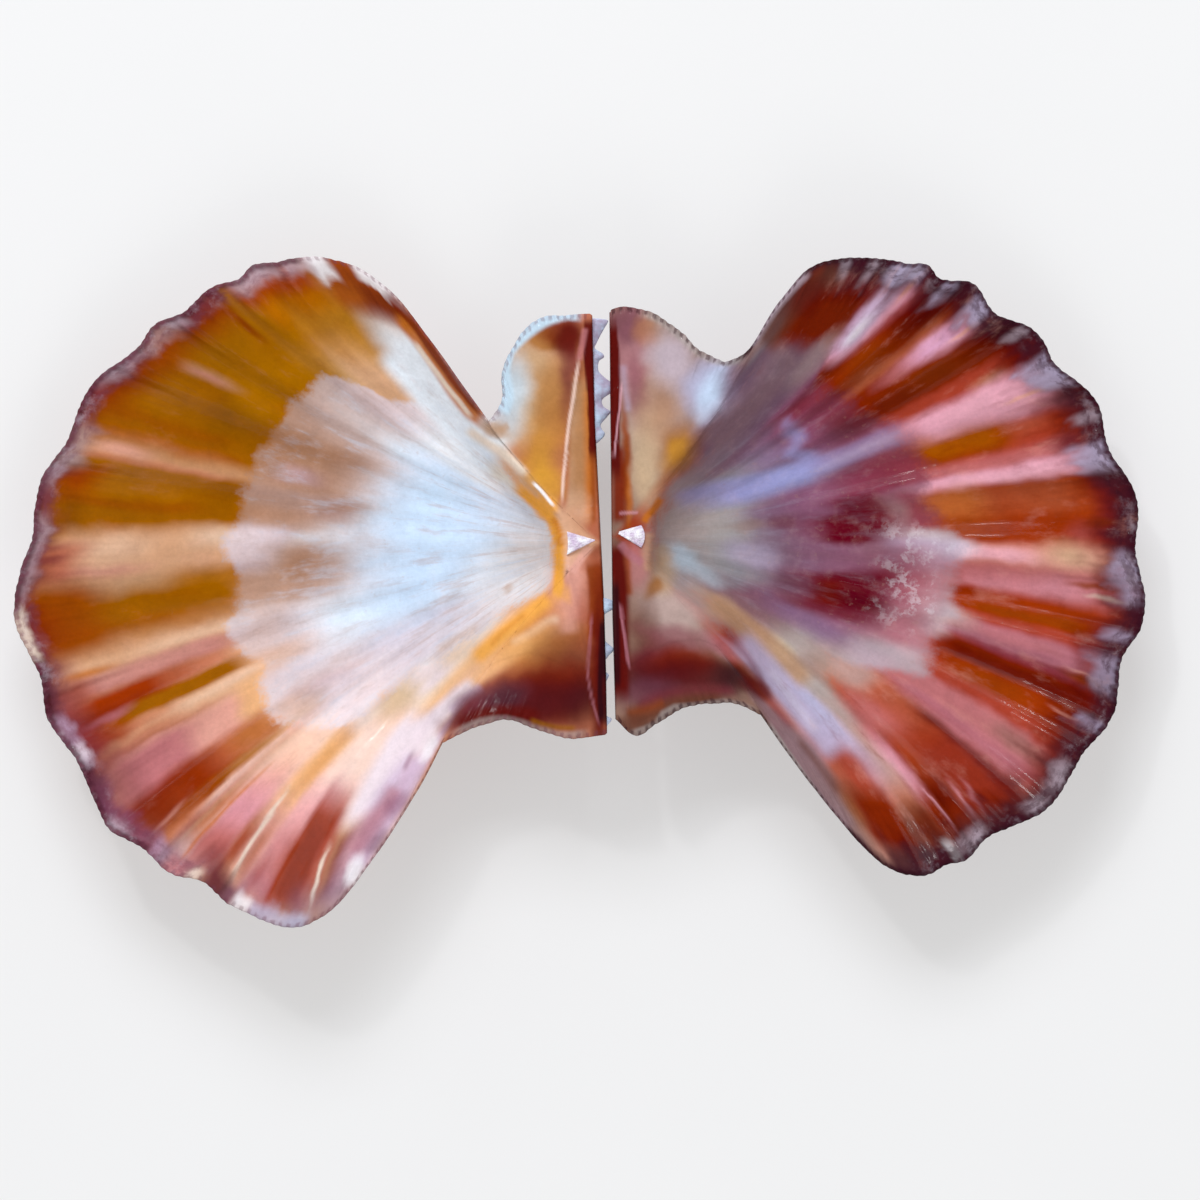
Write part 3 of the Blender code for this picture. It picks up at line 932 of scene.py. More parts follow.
    ("mauve", (.925, 1.1), -.2, 1.3, .4, .04),
    ("brick", (.745, .98), (-.62, -.7), (.36, .2), 1, .05, .2),
    ("chestnut", (.79, .96), (-.52, -.6), (.1, -.02), .6, .05, .2),
    ("coral", (.78, .96), (-.8, -.98), (-.48, -.62), .8, .06, .16),
    # Painted highlight: a thin pale line on the crest edge near the rim.
    ("cream", (.84, .96), (-.74, -.92), (-.66, -.84), .9, .04, .05),
    ("chestnut", (.8, .965), (-1.22, -1.35), (-.82, -.98), .85, .04, .2),
    ("blush", (.52, .78), (-1.9, -1.6), (-.3, -.7), 1, .04, .35),
    ("orchid", (.66, .99), (-2.8, -2.6), (-1.15, -1.25), .75, .1, .4),
    ("mallow", (.78, .94), -2, (-1.15, -1.2), .6, .06, .4),
    ("dusk", (.925, 1.1), -1.9, -.4, .6, .05, .4),
    ("amber", (.26, .52), (-1.8, -1.3), (-.8, -.7), .5, .06, .5),
    ("pearl", (.44, .6), (-2.8, -2.2), -1.4, .3, .06, .5),
    ("sand", (.47, .54), (.3, .4), 1.5, .4, .04, .4),
)
RIGHT_OUTER_RIM = (
    # The rim: a dark edge, and pale ends where a trough runs out.
    ("plum", 3.8, 17.2, 1.6, .6, 1.8),
    ("garnet", 4.4, 17.2, 2.2, .38, 2.6),
    ("ink", 5, 6, 1.2, .75, 1),
    ("ink", 1.15, 2, 1.5, .8, 1.2),
    ("ink", 7, 8.3, 1, .7, 1),
    ("pearl", 9.25, 10.5, 1.3, .4, 1.2),
    ("cream", 8.25, 9.1, .9, .7, .7),
    ("pearl", 10.9, 11.8, 1.3, .5, 1.2, .4),
    ("orchid", 5.9, 7, 1.5, .45, 1.2),
    ("blush", 5.95, 6.3, 1.6, .6, 1),
    ("orchid", 3.35, 3.95, 1.8, .7, 1.4),
    ("mauve", 2.5, 5.6, 2, .5, 1.6),
    ("pearl", 4.5, 5, 1, .5, 1),
    ("mauve", .9, 1.5, 2, .5, 1.6),
    ("garnet", 1.45, 2.2, 2.4, .7, 1.6),
    ("white", .5, 1.1, 1.3, .7, 1.4),
    ("frost", -.9, .5, 1.2, .6, 1.4),
    ("cream", 2.2, 2.6, 1, .6, 1),
    ("rose", 2.6, 3.2, 1.4, .6, 1.2),
    ("haze", 14, 15.4, 2, .4, 2, .5),
    ("haze", 11.4, 12.3, 2.4, .5, 2, .4),
    ("pearl", 13.1, 14, 1.1, .5, 1.2, .5),
    ("pearl", 15.3, 15.9, 1.2, .5, 1.2, .4),
    # Partly pale lilac stain, partly a painted glint: the pearl stretches from rib 17.6 to 19.5.
    ("pearl", 17.6, 19, 1.6, .65, 1.6, .6),
    ("pearl", 18.8, 19.5, 1.3, .6, 1.2, .4),
    ("white", 20.3, 20.8, 2.2, .8, 1.6),
    ("pearl", 19.6, 20.4, 1.6, .6, 1.4),
    ("white", 21.4, 22.4, 1.6, .75, 1.2),
    ("ink", 4, 8.2, .45, .8),
    ("ink", 9, 20.2, .5, .75, .7),
)
RIGHT_OUTER = of_kind("band", RIGHT_OUTER_BANDS) + of_kind("rim", RIGHT_OUTER_RIM)

RIGHT_NACRE_BANDS = (
    ("ice", (.16, .45), (4.6, 5), 18, .9, .14, 2),
    # Partly the nacre's own white, partly painted light: the foam band brightens the dish's wall on the
    # front ear's side, which faces away from the key lamp.
    ("foam", (.24, .47), (16.6, 17.6), 21, .9, .06, 1),
    ("milk", (.05, .26), (-2, 0), (12, 8), .8, .1, 2),
    ("glacier", (.3, .37), 12.5, 20, .25, .06, 1.5),
    ("blush", (.42, .8), -2, 5.6, .85, .12, 1.2),
    ("blush", (.53, .8), 5, 8.4, .9, .08, .8),
    ("shell", (.6, .8), 2.4, 4.4, .6, .04, .6),
    ("blush", (.49, .8), 17.2, (20.4, 19.8), .9, .08, .8),
    ("haze", (.5, .8), 16.4, (18.8, 18.6), .5, .1, .8),
    ("pearl", (.55, .8), 17, (19.6, 19.4), .4, .1, .8),
    ("haze", (.435, .8), (11.9, 12), (15.2, 17.4), .9, .1, 1),
    ("haze", (.51, .8), 14.6, (17.6, 17.4), .6, .06, 1),
    ("smoke", (.48, .8), 12, (14.4, 16), .85, .08, .8),
    ("walnut", (.5, .8), 12.8, (14, 13.9), .75, .08, .6),
    ("smoke", (.44, .8), (10.6, 10.75), 12, .95, .07, .5),
    ("mauve", (.47, .62), (10.8, 10.9), 11.9, .3, .05, .4),
    ("walnut", (.45, .62), 11.2, 12.2, .45, .05, .4),
    ("pearl", (.52, .8), (11.4, 11.3), 12, .45, .05, .4),
    ("smoke", (.5, .8), 10.4, 12.8, .7, .06, .4),
    ("walnut", (.52, .62), 11.8, 12.8, .4, .05, .4),
    ("walnut", (.5, .8), 12, 13, .5, .06, .4),
    ("orchid", (.55, .61), 12.15, 12.7, .35),
    ("walnut", (.52, .8), (10.38, 10.45), (11, 11.05), .75, .05, .25),
    ("haze", (.42, .8), 7.9, 10.6, .6, .12, .8),
    ("smoke", (.47, .8), 8.25, (9.5, 9.2), 1, .08, .4),
    ("walnut", (.49, .58), 8.2, 9, .35, .05, .4),
    ("pearl", (.56, .8), 9.3, 10.5, .7, .03),
    ("blush", (.58, .8), 9.6, (10.45, 10.5), .7, .03),
    ("smoke", (.45, .58), (8.75, 8.7), (9.9, 10.2), .9, .05, .5),
    ("walnut", (.495, .555), 9, (9.8, 9.9), .6, .03, .4),
    ("smoke", (.45, .62), (4.3, 4.4), (5.3, 5.2), .38, .06, .6),
    ("clay", (.53, .62), (4.6, 4.65), 5.05, .25),
    ("haze", (.53, .8), 5.9, 7.2, .65, .06, .5),
    ("peach", (.56, .8), 5.85, 6.6, .45, .06),
    ("haze", (.56, .64), 7.1, 8.2, .6, .05, .4),
    ("haze", (.26, .46), (-2.2, -2), (1.6, 1.4), .45, .06, .8),
    # Painted shade: the pearl and frost bands grey the nacre on the dish's wall towards the back ear,
    # which faces the key lamp.
    ("pearl", (.24, .46), (0, .6), 5.4, .38, .08, .8),
    ("frost", (.28, .46), (1.4, 1.6), 5.4, .28, .06, .6),
    ("pearl", (.5, .64), (3.7, 3.8), 4.9, .5, .06, .4),
    ("tan", (.58, .66), (3.7, 3.8), 4.9, .5, .04),
    # Painted highlight: the white arc at growth .4 to .45 is the bright edge of the fold by the beak.
    ("white", (.405, .45), (-.6, -.4), (1.6, 1.4), .85, .03, .5),
)
RIGHT_NACRE_PATCHES = (
    ("tan", (9.5, -4.7), (.55, .5), 0, .45),
    ("fog", (8, -1), (3, 2.4), 20, .35, 1.4),
    ("ivory", (10.5, 7.4), (3, .8), 38, .5, 1.2),
)
RIGHT_NACRE_LINES = (
    ("tan", ((12.5, -8.2), (14.5, -9.4), (17, -10.9)), .35, .4, .8),
)
RIGHT_NACRE = of_kind("band", RIGHT_NACRE_BANDS) + of_kind("patch", RIGHT_NACRE_PATCHES)
RIGHT_NACRE += of_kind("line", RIGHT_NACRE_LINES)
RIGHT_NACRE += (("band", "cream", (.2, .42), (20.6, 20.4), 24, .65, .08, .6),)

RIGHT_EARS = (
    # The strip outside the fold, front and back.
    ("line", "foam", ((9.6, 8.2), (12, 10.2), (15, 13.4), (18.4, 17.2), (21.4, 20.6)), 2.4, 1, 1.6),
    ("line", "orange", ((11.4, 11.6), (13.6, 13.4), (15.4, 15.8), (17.9, 19.6), (21, 23.4)), .75, .95, .7),
    ("line", "chestnut", ((11.6, 12.2), (14, 14.9), (16.4, 18.1), (19, 21.8), (22.4, 25.6)), .42, .85, .4),
    # Painted highlight: the thin cream line along the strip outside the front fold.
    ("line", "cream", ((13, 12.2), (14.6, 14.2), (16.6, 16.8), (19.2, 20.4)), .22, .9, .3),
    ("line", "orchid", ((18, -20.6), (20.2, -24.4), (22.9, -29.4), (25, -33)), .9, .6, 1.6),
    ("line", "mallow", ((20.6, -24), (22.8, -27.8), (25.2, -31.4)), .8, .6, 1.4),
    ("line", "mauve", ((16.8, -16.6), (18.4, -19.4), (20.2, -23)), .22, .45, .4),
    ("patch", "mauve", (20.4, -26.2), (1.5, .9), -55, .55, 1.2),
    ("patch", "plum", (22.6, -29.8), (1.5, .8), -60, .5, 1.2),
    ("patch", "white", (17.7, -20.4), (1.6, .6), -60, .7, 1.2),
    ("patch", "white", (25, -32.6), (1.6, .7), -62, .7, 1.2),
    ("line", "apricot", ((7, -9.2), (9.6, -11.2), (12.4, -13.2), (14.8, -15.2)), .9, .75, 1.2),
    ("line", "blush", ((12.6, -13.8), (14.6, -15.4), (16.8, -17.6), (19.6, -21.4)), .8, .9, 1),
    ("line", "orchid", ((12, -14.3), (14, -15.7), (15.6, -17)), .45, .6, .8),
    # The back ear.
    ("patch", "salmon", (3.6, -5), (1.9, 3.6), 0, .5, 1.2),
    ("patch", "brick", (2.6, -7.6), (1.2, 3), 0, .45, 1.3),
    ("patch", "tan", (5.4, -9.6), (2.6, 1.5), -20, .6, 1.2),
    ("patch", "caramel", (6, -11), (3.8, 1.6), -30, .7, 1.2),
    ("patch", "rust", (3.4, -10.6), (2.6, 2.4), -30, .5, 1.3),
    ("patch", "umber", (3, -12.6), (3.2, 2.4), -20, .7, 1.2),
    ("patch", "chestnut", (5.4, -14.8), (5.8, 2.8), -14, .9, 1.1),
    ("patch", "maroon", (4.8, -15.8), (5.4, 2.8), -14, .9, 1.2),
    ("patch", "maroon", (9.8, -15.6), (4.4, 1.8), -8, .85, 1.2),
    ("patch", "plum", (11, -15.4), (3, 1.2), -10, .7, 1.3),
    ("patch", "soot", (10, -15.2), (1.8, .9), -10, .45, 1.4),
    ("patch", "soot", (2.4, -16.4), (1.6, 2.8), 0, .35, 1.5),
    ("patch", "garnet", (14.2, -17.2), (2.2, .9), -32, .8, 1.2),
    ("patch", "ink", (7.4, -16.4), (7.5, 1.7), -8, .4, 1.4),
    ("line", "maroon", ((6, -17.6), (9, -16.9), (12.4, -17.2), (15, -18.6)), .7, .85, .9),
    ("line", "salmon", ((2.4, -2.4), (3.2, -4.6), (3.5, -7.6), (3.4, -9.4)), .75, .4, 1.2),
    ("patch", "amber", (3.9, -5.1), (.7, .9), 0, .5, 1),
    ("line", "cream", ((4.2, -7.6), (5.6, -7.8), (7.4, -9), (9.6, -10.1)), .35, .45, 1),
    ("patch", "amber", (8.4, -9.4), (4.2, 1.5), -38, .45, 1.5),
    ("line", "amber", ((5, -5.1), (7, -6.6), (9.3, -8.4), (11.4, -10.2), (13.4, -12)), .8, .9, 1.3),
    ("line", "orange", ((7.6, -6.9), (9.6, -8.5), (11.6, -10.5)), .22, .35, .6),
    ("line", "fog", ((1, -18.9), (4, -19.2), (6.6, -18.6), (9.8, -17.7), (12.6, -18), (15.8, -19.6)
        ), .4, .5, .6),
    ("line", "olive", ((2.6, -18.5), (5.4, -18.3), (7.6, -17.6)), .25, .7, .5),
    # The hinge strip of the back ear, and its raised line.
    ("line", "rust", ((1.2, -1.6), (.9, -4), (.8, -7), (1, -10)), .75, .9, .5),
    ("patch", "chestnut", (.6, -8), (.9, 6.6), 0, .8, 1.5),
    ("patch", "maroon", (.4, -14), (.8, 8), 0, 1, 1.3),
    ("line", "soot", ((.1, -7), (.3, -12), (.4, -15), (.2, -18.6)), .32, .85, .3),
    ("line", "mallow", ((1.3, -6.4), (1.45, -10), (1.65, -13), (1.2, -15.6), (.4, -18.6)), .11, .5, .2),
    # The front ear.
    ("patch", "sand", (7.4, 16.4), (3.2, 4.6), 0, .8, 1.2),
    ("patch", "honey", (5.8, 11.6), (2.6, 6), 4, .6, 1.4),
    ("patch", "gold", (6.6, 9), (1.6, 2.8), 4, .3, 1.5),
    ("patch", "caramel", (5, 14.6), (2.2, 3.2), 0, .55, 1),
    ("patch", "yellow", (7, 7.5), (1.3, 1.5), 0, .15, 1.4),
    ("patch", "gold", (5.6, 5.9), (1.4, 1.8), 0, .55, 1.2),
    ("patch", "sand", (8.8, 12.4), (1.5, 3), 10, .6, 1.4),
    ("patch", "glacier", (9.4, 14.8), (1.6, 3.6), 6, .75, 1.3),
    ("patch", "tan", (10.9, 11.2), (1.4, .9), 10, .8, .8),
    ("patch", "caramel", (6, 20.4), (1.8, 1.1), 20, .85, .8),
    ("patch", "garnet", (3.4, 17.2), (.9, 4.2), 4, .7, 1.4),
    ("patch", "chestnut", (4.4, 20.8), (2, 1.2), 16, .8, 1.2),
    ("patch", "maroon", (3.5, 20.3), (1.4, 1.9), 6, .85, 1.2),
    ("line", "glacier", ((1.8, 22.8), (3.8, 23.1), (6.2, 22.3), (8.2, 20.9), (9.8, 19.2), (10.3, 17.4)
        ), .85, .95, .6),
    ("line", "glacier", ((9.9, 19.4), (10.1, 17), (9.8, 14.6), (10.4, 12.6)), .75, .9, .6),
    ("line", "tan", ((9.4, 11.8), (10.6, 11.2), (12, 11.5)), .35, .6, .5),
    # The slope from its raised line to the hinge edge.
    ("line", "tan", ((3, 2), (2.6, 6), (2.5, 10), (2.3, 14), (2.1, 17)), .95, .9, .7),
    ("patch", "caramel", (2.5, 10), (.8, 8), 2, .55, 1.4),
    ("patch", "brick", (2.4, 2.4), (1.6, 1.6), 0, .35, 1.4),
    ("line", "orange", ((1.6, 1.2), (1.5, 4), (1.45, 8), (1.5, 12), (1.6, 16.5)), .5, .8, .9),
    ("line", "rust", ((1.15, 1.4), (1.1, 4), (1.15, 9), (1.2, 13)), .26, .8, .5),
    ("line", "maroon", ((1.15, 7.6), (1.2, 12), (1.4, 16), (1.7, 19.4), (1.6, 22.8)), .42, 1, .25),
    ("line", "maroon", ((1.3, 14.8), (1.5, 18), (1.55, 20), (1.5, 22.6)), .5, .9, .3),
    ("line", "rose", ((1.9, 21.6), (2.3, 19.4), (2.5, 18)), .3, .6, .4),
    # Painted highlight: a thin pale line along the top of the hinge plate's raised line.
    ("line", "shell", ((4.25, 3.4), (4.1, 6), (3.7, 10.6), (3.1, 14.6), (2.5, 18.8)), .15, .75, .25),
    # Round the tip of the dish.
    ("patch", "peach", (2.9, 3.2), (1.3, 2), 0, .6, 1),
    ("patch", "amber", (5.9, 3.6), (1.3, 1.1), 40, .95, .7),
    ("line", "amber", ((9.4, 6.2), (7.4, 4.4), (5.6, 2.7), (4.75, 1), (4.55, -1.2), (4.6, -4), (5, -6.4)
        ), .52, 1, .5),
    ("line", "orange", ((5.2, 2.6), (4.5, 1), (4.35, -.6)), .28, .6, .4),
    # Painted highlights: the pale cream line along the fold from the byssal notch, and the white line
    # along the crus by the tip of the dish.
    ("line", "cream", ((14, 11.6), (12, 10.1), (9.8, 8.6), (7.6, 6.5)), .42, .95, .7),
    ("line", "white", ((7.2, 6.1), (6.2, 5), (5, 3.5)), .17, .9, .2),
    ("line", "salmon", ((1.4, -.2), (2.4, -1.6), (3.3, -3.2)), .42, .7, .5),
)

RIGHT_VALVE["grounds"] = ("peach", "milk", "clay")
RIGHT_VALVE["marks"] = (RIGHT_OUTER, RIGHT_NACRE, RIGHT_EARS)
# Where the stained outer coat begins: growth at a few ribs.
RIGHT_VALVE["pallial"] = (
    (-4.0, 0.44), (-1.0, 0.44), (0.5, 0.46), (1.15, 0.50), (1.5, 0.57), (2.0, 0.625),
    (3.2, 0.66), (4.2, 0.67), (5.6, 0.66), (6.1, 0.64), (6.8, 0.665), (8.0, 0.675),
    (8.3, 0.635), (9.2, 0.63), (10.0, 0.655), (10.7, 0.645), (11.5, 0.665), (13.2, 0.67),
    (14.3, 0.69), (16.0, 0.705), (17.6, 0.70), (18.3, 0.66), (19.0, 0.58), (20.2, 0.56),
    (20.9, 0.60), (22.0, 0.58),
)

LEFT_OUTER_BANDS = (
    # Back flank to front flank: the wide stains first.
    ("clay", (.5, 1.1), -2, 3, .9, .06, .6),
    ("coral", (.55, 1.1), 3, 11, 1, .06, .6),
    ("chestnut", (.5, 1.1), 12.6, 21.5, .9, .06, .6),
    ("cinder", (.4, .74), (17.6, 18), 22.5, .85, .1, .6),
    ("chestnut", (.72, .93), 18.2, 20.6, .85, .06, .4),
    ("maroon", (.78, .93), 18.3, (19.3, 19.2), .6, .06),
    ("maroon", (.76, .93), 19.4, 21, .6, .06, .4),
    ("mallow", (.9, 1.1), 18.8, 19.6, .5, .04),
    ("chestnut", (.76, .94), 18.2, 20.9, .6, .06, .4),
    ("slate", (.6, .84), 20.7, 23, .75, .06, .4),
    ("cinder", (.8, 1.1), 20.7, 23, .75, .06, .4),
    ("haze", (.5, 1.1), 21.2, 24, .45, .1, .4),
    ("chestnut", (.74, .84), 20.1, (21, 20.9), .5, .06),
    ("haze", (.9, 1.1), -1.2, 0, .4),
    # Crest 18 to crest 14.
    ("brick", (.62, .84), 14.8, (16.6, 16.2), .45, .08, .5),
    ("clay", (.66, .76), 14.9, (15.8, 15.6), .5, .06, .5),
    ("rust", (.7, .8), 15.5, 17, .45, .06, .5),
    ("maroon", (.84, 1.1), 15, (16.4, 16.2), .9, .08),
    ("soot", (.92, 1.1), 15.6, 16.6, .5, .04, .4),
    ("mallow", (.7, .97), (16.9, 16.2), (17.6, 17.2), .55, .05, .5),
    ("pink", (.7, .97), (17.1, 16.46), 17.9, .9),
    ("blossom", (.73, .86), (17.5, 17.25), 18.12, .6, .05, .2),
    ("haze", (.6, .8), (17.9, 18), (19, 18.5), .4, .08, .4),
    ("chestnut", (.8, .96), 18.1, 19, .6),
    ("orchid", (.74, .99), (17.1, 17), (18, 17.95), .85),
    ("white", (.76, .84), (17.35, 17.3), (17.8, 17.75), .6, .04),
    # Painted highlight: a thin pale line on the crest edge near the rim.
    ("salmon", (.9, .965), (16.76, 16.7), (16.92, 16.84), .85, .03, .06),
    ("plum", (.92, .955), 17.2, (17.75, 17.7), .5, .02, .15),
    ("garnet", (.9, .99), 18, 18.5, .7, .04, .2),
    ("rust", (.74, .86), 13.2, (14.3, 14.1), .35, .06, .35),
    ("maroon", (.93, 1.1), 12.8, 14.1, .9, .04),
    ("pink", (.79, .975), (14.2, 13.86), (14.82, 14.66), .9, .08),
    ("rose", (.7, .84), (14.3, 14.1), (14.82, 14.7), .6, .06),
    ("blossom", (.79, .92), (14.26, 14.1), (14.74, 14.64), .55, .06, .2),
    # Painted highlight: a thin pale line on the crest edge near the rim.
    ("salmon", (.89, .975), (14.12, 14.04), (14.24, 14.14), .85, .03, .05),
    ("clay", (.6, .92), (14.85, 14.75), (15.2, 15.1), .5, .06, .25),
    # Crest 12 and trough 11.
    ("coral", (.62, .95), (12.5, 12.45), (13.05, 12.95), .85, .06, .2),
    ("tan", (.84, .9), (12.36, 12.34), (12.65, 12.58), .6, .05, .2),
    ("maroon", (.9, 1), (12.44, 12.4), 13.2, .85, .05, .2),
    ("pink", (.66, .975), (11.36, 11.16), (12.5, 12.34), .95, .06),
    ("petal", (.74, .94), (11.8, 11.5), (12.3, 12.2), .55, .06),
    ("rust", (.625, .84), (10.6, 10.55), (11.5, 11.4), 1, .05, .25),
    ("orange", (.68, .8), 10.9, (11.65, 11.6), .4),
    ("orange", (.645, .69), 11, 11.8, .4, .03),
    ("coral", (.82, .95), 10.5, (11.3, 11.2), .85, .06, .25),
    ("clay", (.84, .89), 10.95, (11.3, 11.2), .4),
    ("chestnut", (.88, 1), 10.4, (11.6, 11.5), .55, .06),
    # Painted highlight: a thin pale line on the crest edge near the rim.
    ("salmon", (.87, .975), (11.72, 11.64), (11.82, 11.72), .9, .03, .05),
    # Crest 10 and trough 9.
    ("rose", (.6, .94), (10.02, 10), (10.55, 10.45), .85),
    ("coral", (.6, .9), (10.15, 10.1), (10.8, 10.7), .35),
    ("garnet", (.91, .955), 10.1, (10.5, 10.45), .75, .03, .2),
    ("pink", (.58, .975), (9.46, 9.26), (10.1, 10.02), .95, .06, .22),
    ("petal", (.68, .92), (9.44, 9.36), (9.98, 9.94), .65, .06, .2),
    ("brick", (.6, .97), (8.1, 8.05), (9.7, 9.62), 1, .05, .18),
    ("clay", (.6, .73), 8.8, (9.7, 9.68), .75, .05, .4),
    ("rust", (.61, .72), 8.2, 8.9, .5),
    ("orange", (.62, .72), 8.9, 9.66, .35, .04),
    ("clay", (.74, .9), 8.8, (9.66, 9.6), .35, .06),
    ("chestnut", (.74, .9), (8.25, 8.2), (8.85, 8.8), .3, .06),
    ("mallow", (.88, .93), (8.05, 8), 8.5, .25, .04),
    ("garnet", (.93, .985), 8.05, (9.55, 9.5), .75, .03),
    ("rust", (.92, .985), 8.45, (8.62, 8.6), .6, .03, .1),
    # Painted highlight: a thin pale line on the crest edge near the rim.
    ("petal", (.91, .97), (9.6, 9.58), (9.67, 9.64), .7, .03, .04),
    # Crest 8 and trough 7.
    ("salmon", (.66, .965), (7.56, 7.54), (8.06, 7.98), .75, .06, .25),
    ("sand", (.84, .92), 7.68, (8.1, 8.04), .7, .06),
    ("petal", (.64, .8), (7.7, 7.66), (8, 7.96), .75, .05, .14),
    ("rose", (.625, .93), 7.02, (7.62, 7.56), .9, .06, .24),
    ("pink", (.66, .9), 7.1, (7.5, 7.4), .4, .08, .25),
    ("coral", (.64, .8), 7.2, (7.66, 7.62), .35, .08, .25),
    ("rust", (.87, .975), 7.34, (7.44, 7.42), .75, .03, .06),
    # Painted highlight: a thin pale line on the crest edge near the rim.
    ("cream", (.91, .965), (7.2, 7.18), (7.26, 7.24), .7, .03, .04),
    ("brick", (.64, .95), (6.36, 6.3), (7.1, 7.02), 1, .05, .16),
    ("rust", (.7, .93), (6.4, 6.38), (6.74, 6.7), .75, .06, .16),
    ("chestnut", (.635, .7), 6.8, (7.12, 7.08), .6, .04, .14),
    ("coral", (.66, .95), (6.1, 6.05), (6.42, 6.36), .95, .05, .16),
    ("garnet", (.92, .985), 6, (6.9, 6.8), .5),
    # Crest 6, trough 5 and crest 4.
    ("mallow", (.645, .95), (5.42, 5.4), (6.14, 6.06), 1, .05, .18),
    ("blush", (.61, .665), (5, 5.2), (6.4, 6.2), .55, .025),
    ("blush", (.6, .7), (7.6, 7.8), (8.3, 8.1), .6, .03, .2),
    ("haze", (.62, .72), (5.72, 5.7), (6.4, 6.2), .6, .04),
    ("rose", (.7, .9), (5.72, 5.7), (6.1, 6.04), .6, .06, .2),
    ("wine", (.7, .94), 5.06, (5.46, 5.42), .75, .06, .14),
    ("chestnut", (.655, .975), (4.4, 4.52), (5.3, 5.16), 1, .05, .14),
    ("maroon", (.66, .93), (4.7, 4.72), (5.14, 5.06), .7, .06, .16),
    ("brick", (.67, .97), (3.96, 4.02), (4.72, 4.66), 1, .06, .2),
    ("rust", (.7, .86), (4.12, 4.16), (4.62, 4.58), .5, .06, .2),
    ("maroon", (.9, .99), 3.6, 5.3, .45),
    # Painted highlight: a thin pale line on the crest edge near the rim.
    ("salmon", (.91, .97), (4.5, 4.48), (4.57, 4.55), .5, .03, .04),
    ("rust", (.9, .975), (5.3, 5.28), (5.52, 5.5), .8, .04, .1),
    # Painted highlight: a thin pale line on the crest edge near the rim.
    ("salmon", (.91, .965), (5.52, 5.5), (5.58, 5.56), .6, .03, .04),
    ("coral", (.66, .94), 3.64, (4.12, 4.06), .9, .06, .2),
    ("rose", (.6, .94), 3.1, (3.76, 3.7), .95, .06, .2),
    ("taupe", (.83, .94), 3.3, (3.64, 3.62), .5, .05, .2),
    # Trough 3, crest 2, trough 1 and the flank.
    ("mallow", (.62, .94), (2.82, 2.8), (3.24, 3.2), .75, .06, .18),
    ("coral", (.56, .95), .9, (2.84, 2.82), .7, .08),
    ("chestnut", (.86, .96), 1.3, 2.8, .6, .06),
    ("rose", (.6, .74), (.9, .8), (2.5, 2.3), .6, .08, .5),
    ("clay", (.46, .7), (2.15, 2.35), (3.05, 2.9), .6, .06),
    ("coral", (.605, .7), 2.2, 2.8, .4, .03),
    ("maroon", (.69, .95), (2.68, 2.66), (2.9, 2.84), .8, .05, .12),
    ("brick", (.74, .95), (2.36, 2.34), (2.72, 2.68), .9, .06, .16),
    ("brick", (.72, .97), 1.98, (2.44, 2.42), .8, .07, .2),
    ("garnet", (.76, .97), 2.02, 2.8, .35, .06, .2),
    # Painted highlights: two thin pale lines on the crest edge near the rim.
    ("petal", (.88, .965), (2.08, 2.06), (2.14, 2.11), .5, .04, .04),
    ("petal", (.89, .96), (2.26, 2.24), (2.31, 2.28), .35, .04, .04),
    ("brick", (.7, .95), (1.4, 1.42), (2.06, 2.02), .75, .07, .2),
    ("maroon", (.83, .93), 1.46, (2.04, 2.02), .8, .05, .14),
    ("pink", (.7, .84), .86, (1.5, 1.46), .75, .06, .2),
    ("chestnut", (.845, .94), 1.02, (1.42, 1.4), .9, .05, .12),
    # Painted highlight: a thin pale line on the crest edge near the rim.
    ("petal", (.83, .955), 1.36, (1.43, 1.41), .75, .05, .05),
    ("rose", (.72, .86), (-.4, -.3), .96, .7, .06),
    ("tan", (.76, .86), .2, .96, .4),
    ("clay", (.8, .9), -.2, .9, .6),
    ("umber", (.855, .96), (-.3, -.35), (1.02, 1), .95, .05, .2),
    ("chestnut", (.87, .93), .1, 1, .5),
    ("haze", (.5, .8), 0, (1.1, 1), .7, .06, .5),
    ("fog", (.5, .65), 0, (1.5, 1.3), .65, .05, .5),
    ("haze", (.5, .595), 2.2, 3, .7, .03, .4),
    ("lilac", (.46, .74), (-1.7, -.55), (.3, .5), .9, .1, .5),
    ("frost", (.46, .64), (-1.5, -.95), (.15, .1), .7, .08, .6),
    ("mallow", (.7, .8), (-1.2, -1), (.4, .5), .45, .07, .5),
    ("clay", (.69, .84), (-1.5, -1.4), -.2, .8, .06, .4),
    ("coral", (.7, .8), (-1.3, -1.2), (-.4, -.3), .5, .05, .4),
    ("cinder", (.7, 1.1), -3, -1.2, .9, .06),
    ("taupe", (.88, 1.1), -2, -1, .5, .04),
    ("umber", (.8, .9), -1.3, (-.55, -.72), .6, .06),
    ("rust", (.82, .9), (-1.25, -1.3), (-.75, -.85), .4, .06),
    ("coral", (.68, .83), -.75, (-.12, -.2), .75, .06),
    ("chestnut", (.8, .955), (-1, -1.05), -.05, 1, .05, .25),
    ("ochre", (.84, .93), (-1.45, -1.5), (-1.05, -1.1), .3, .05, .25),
)
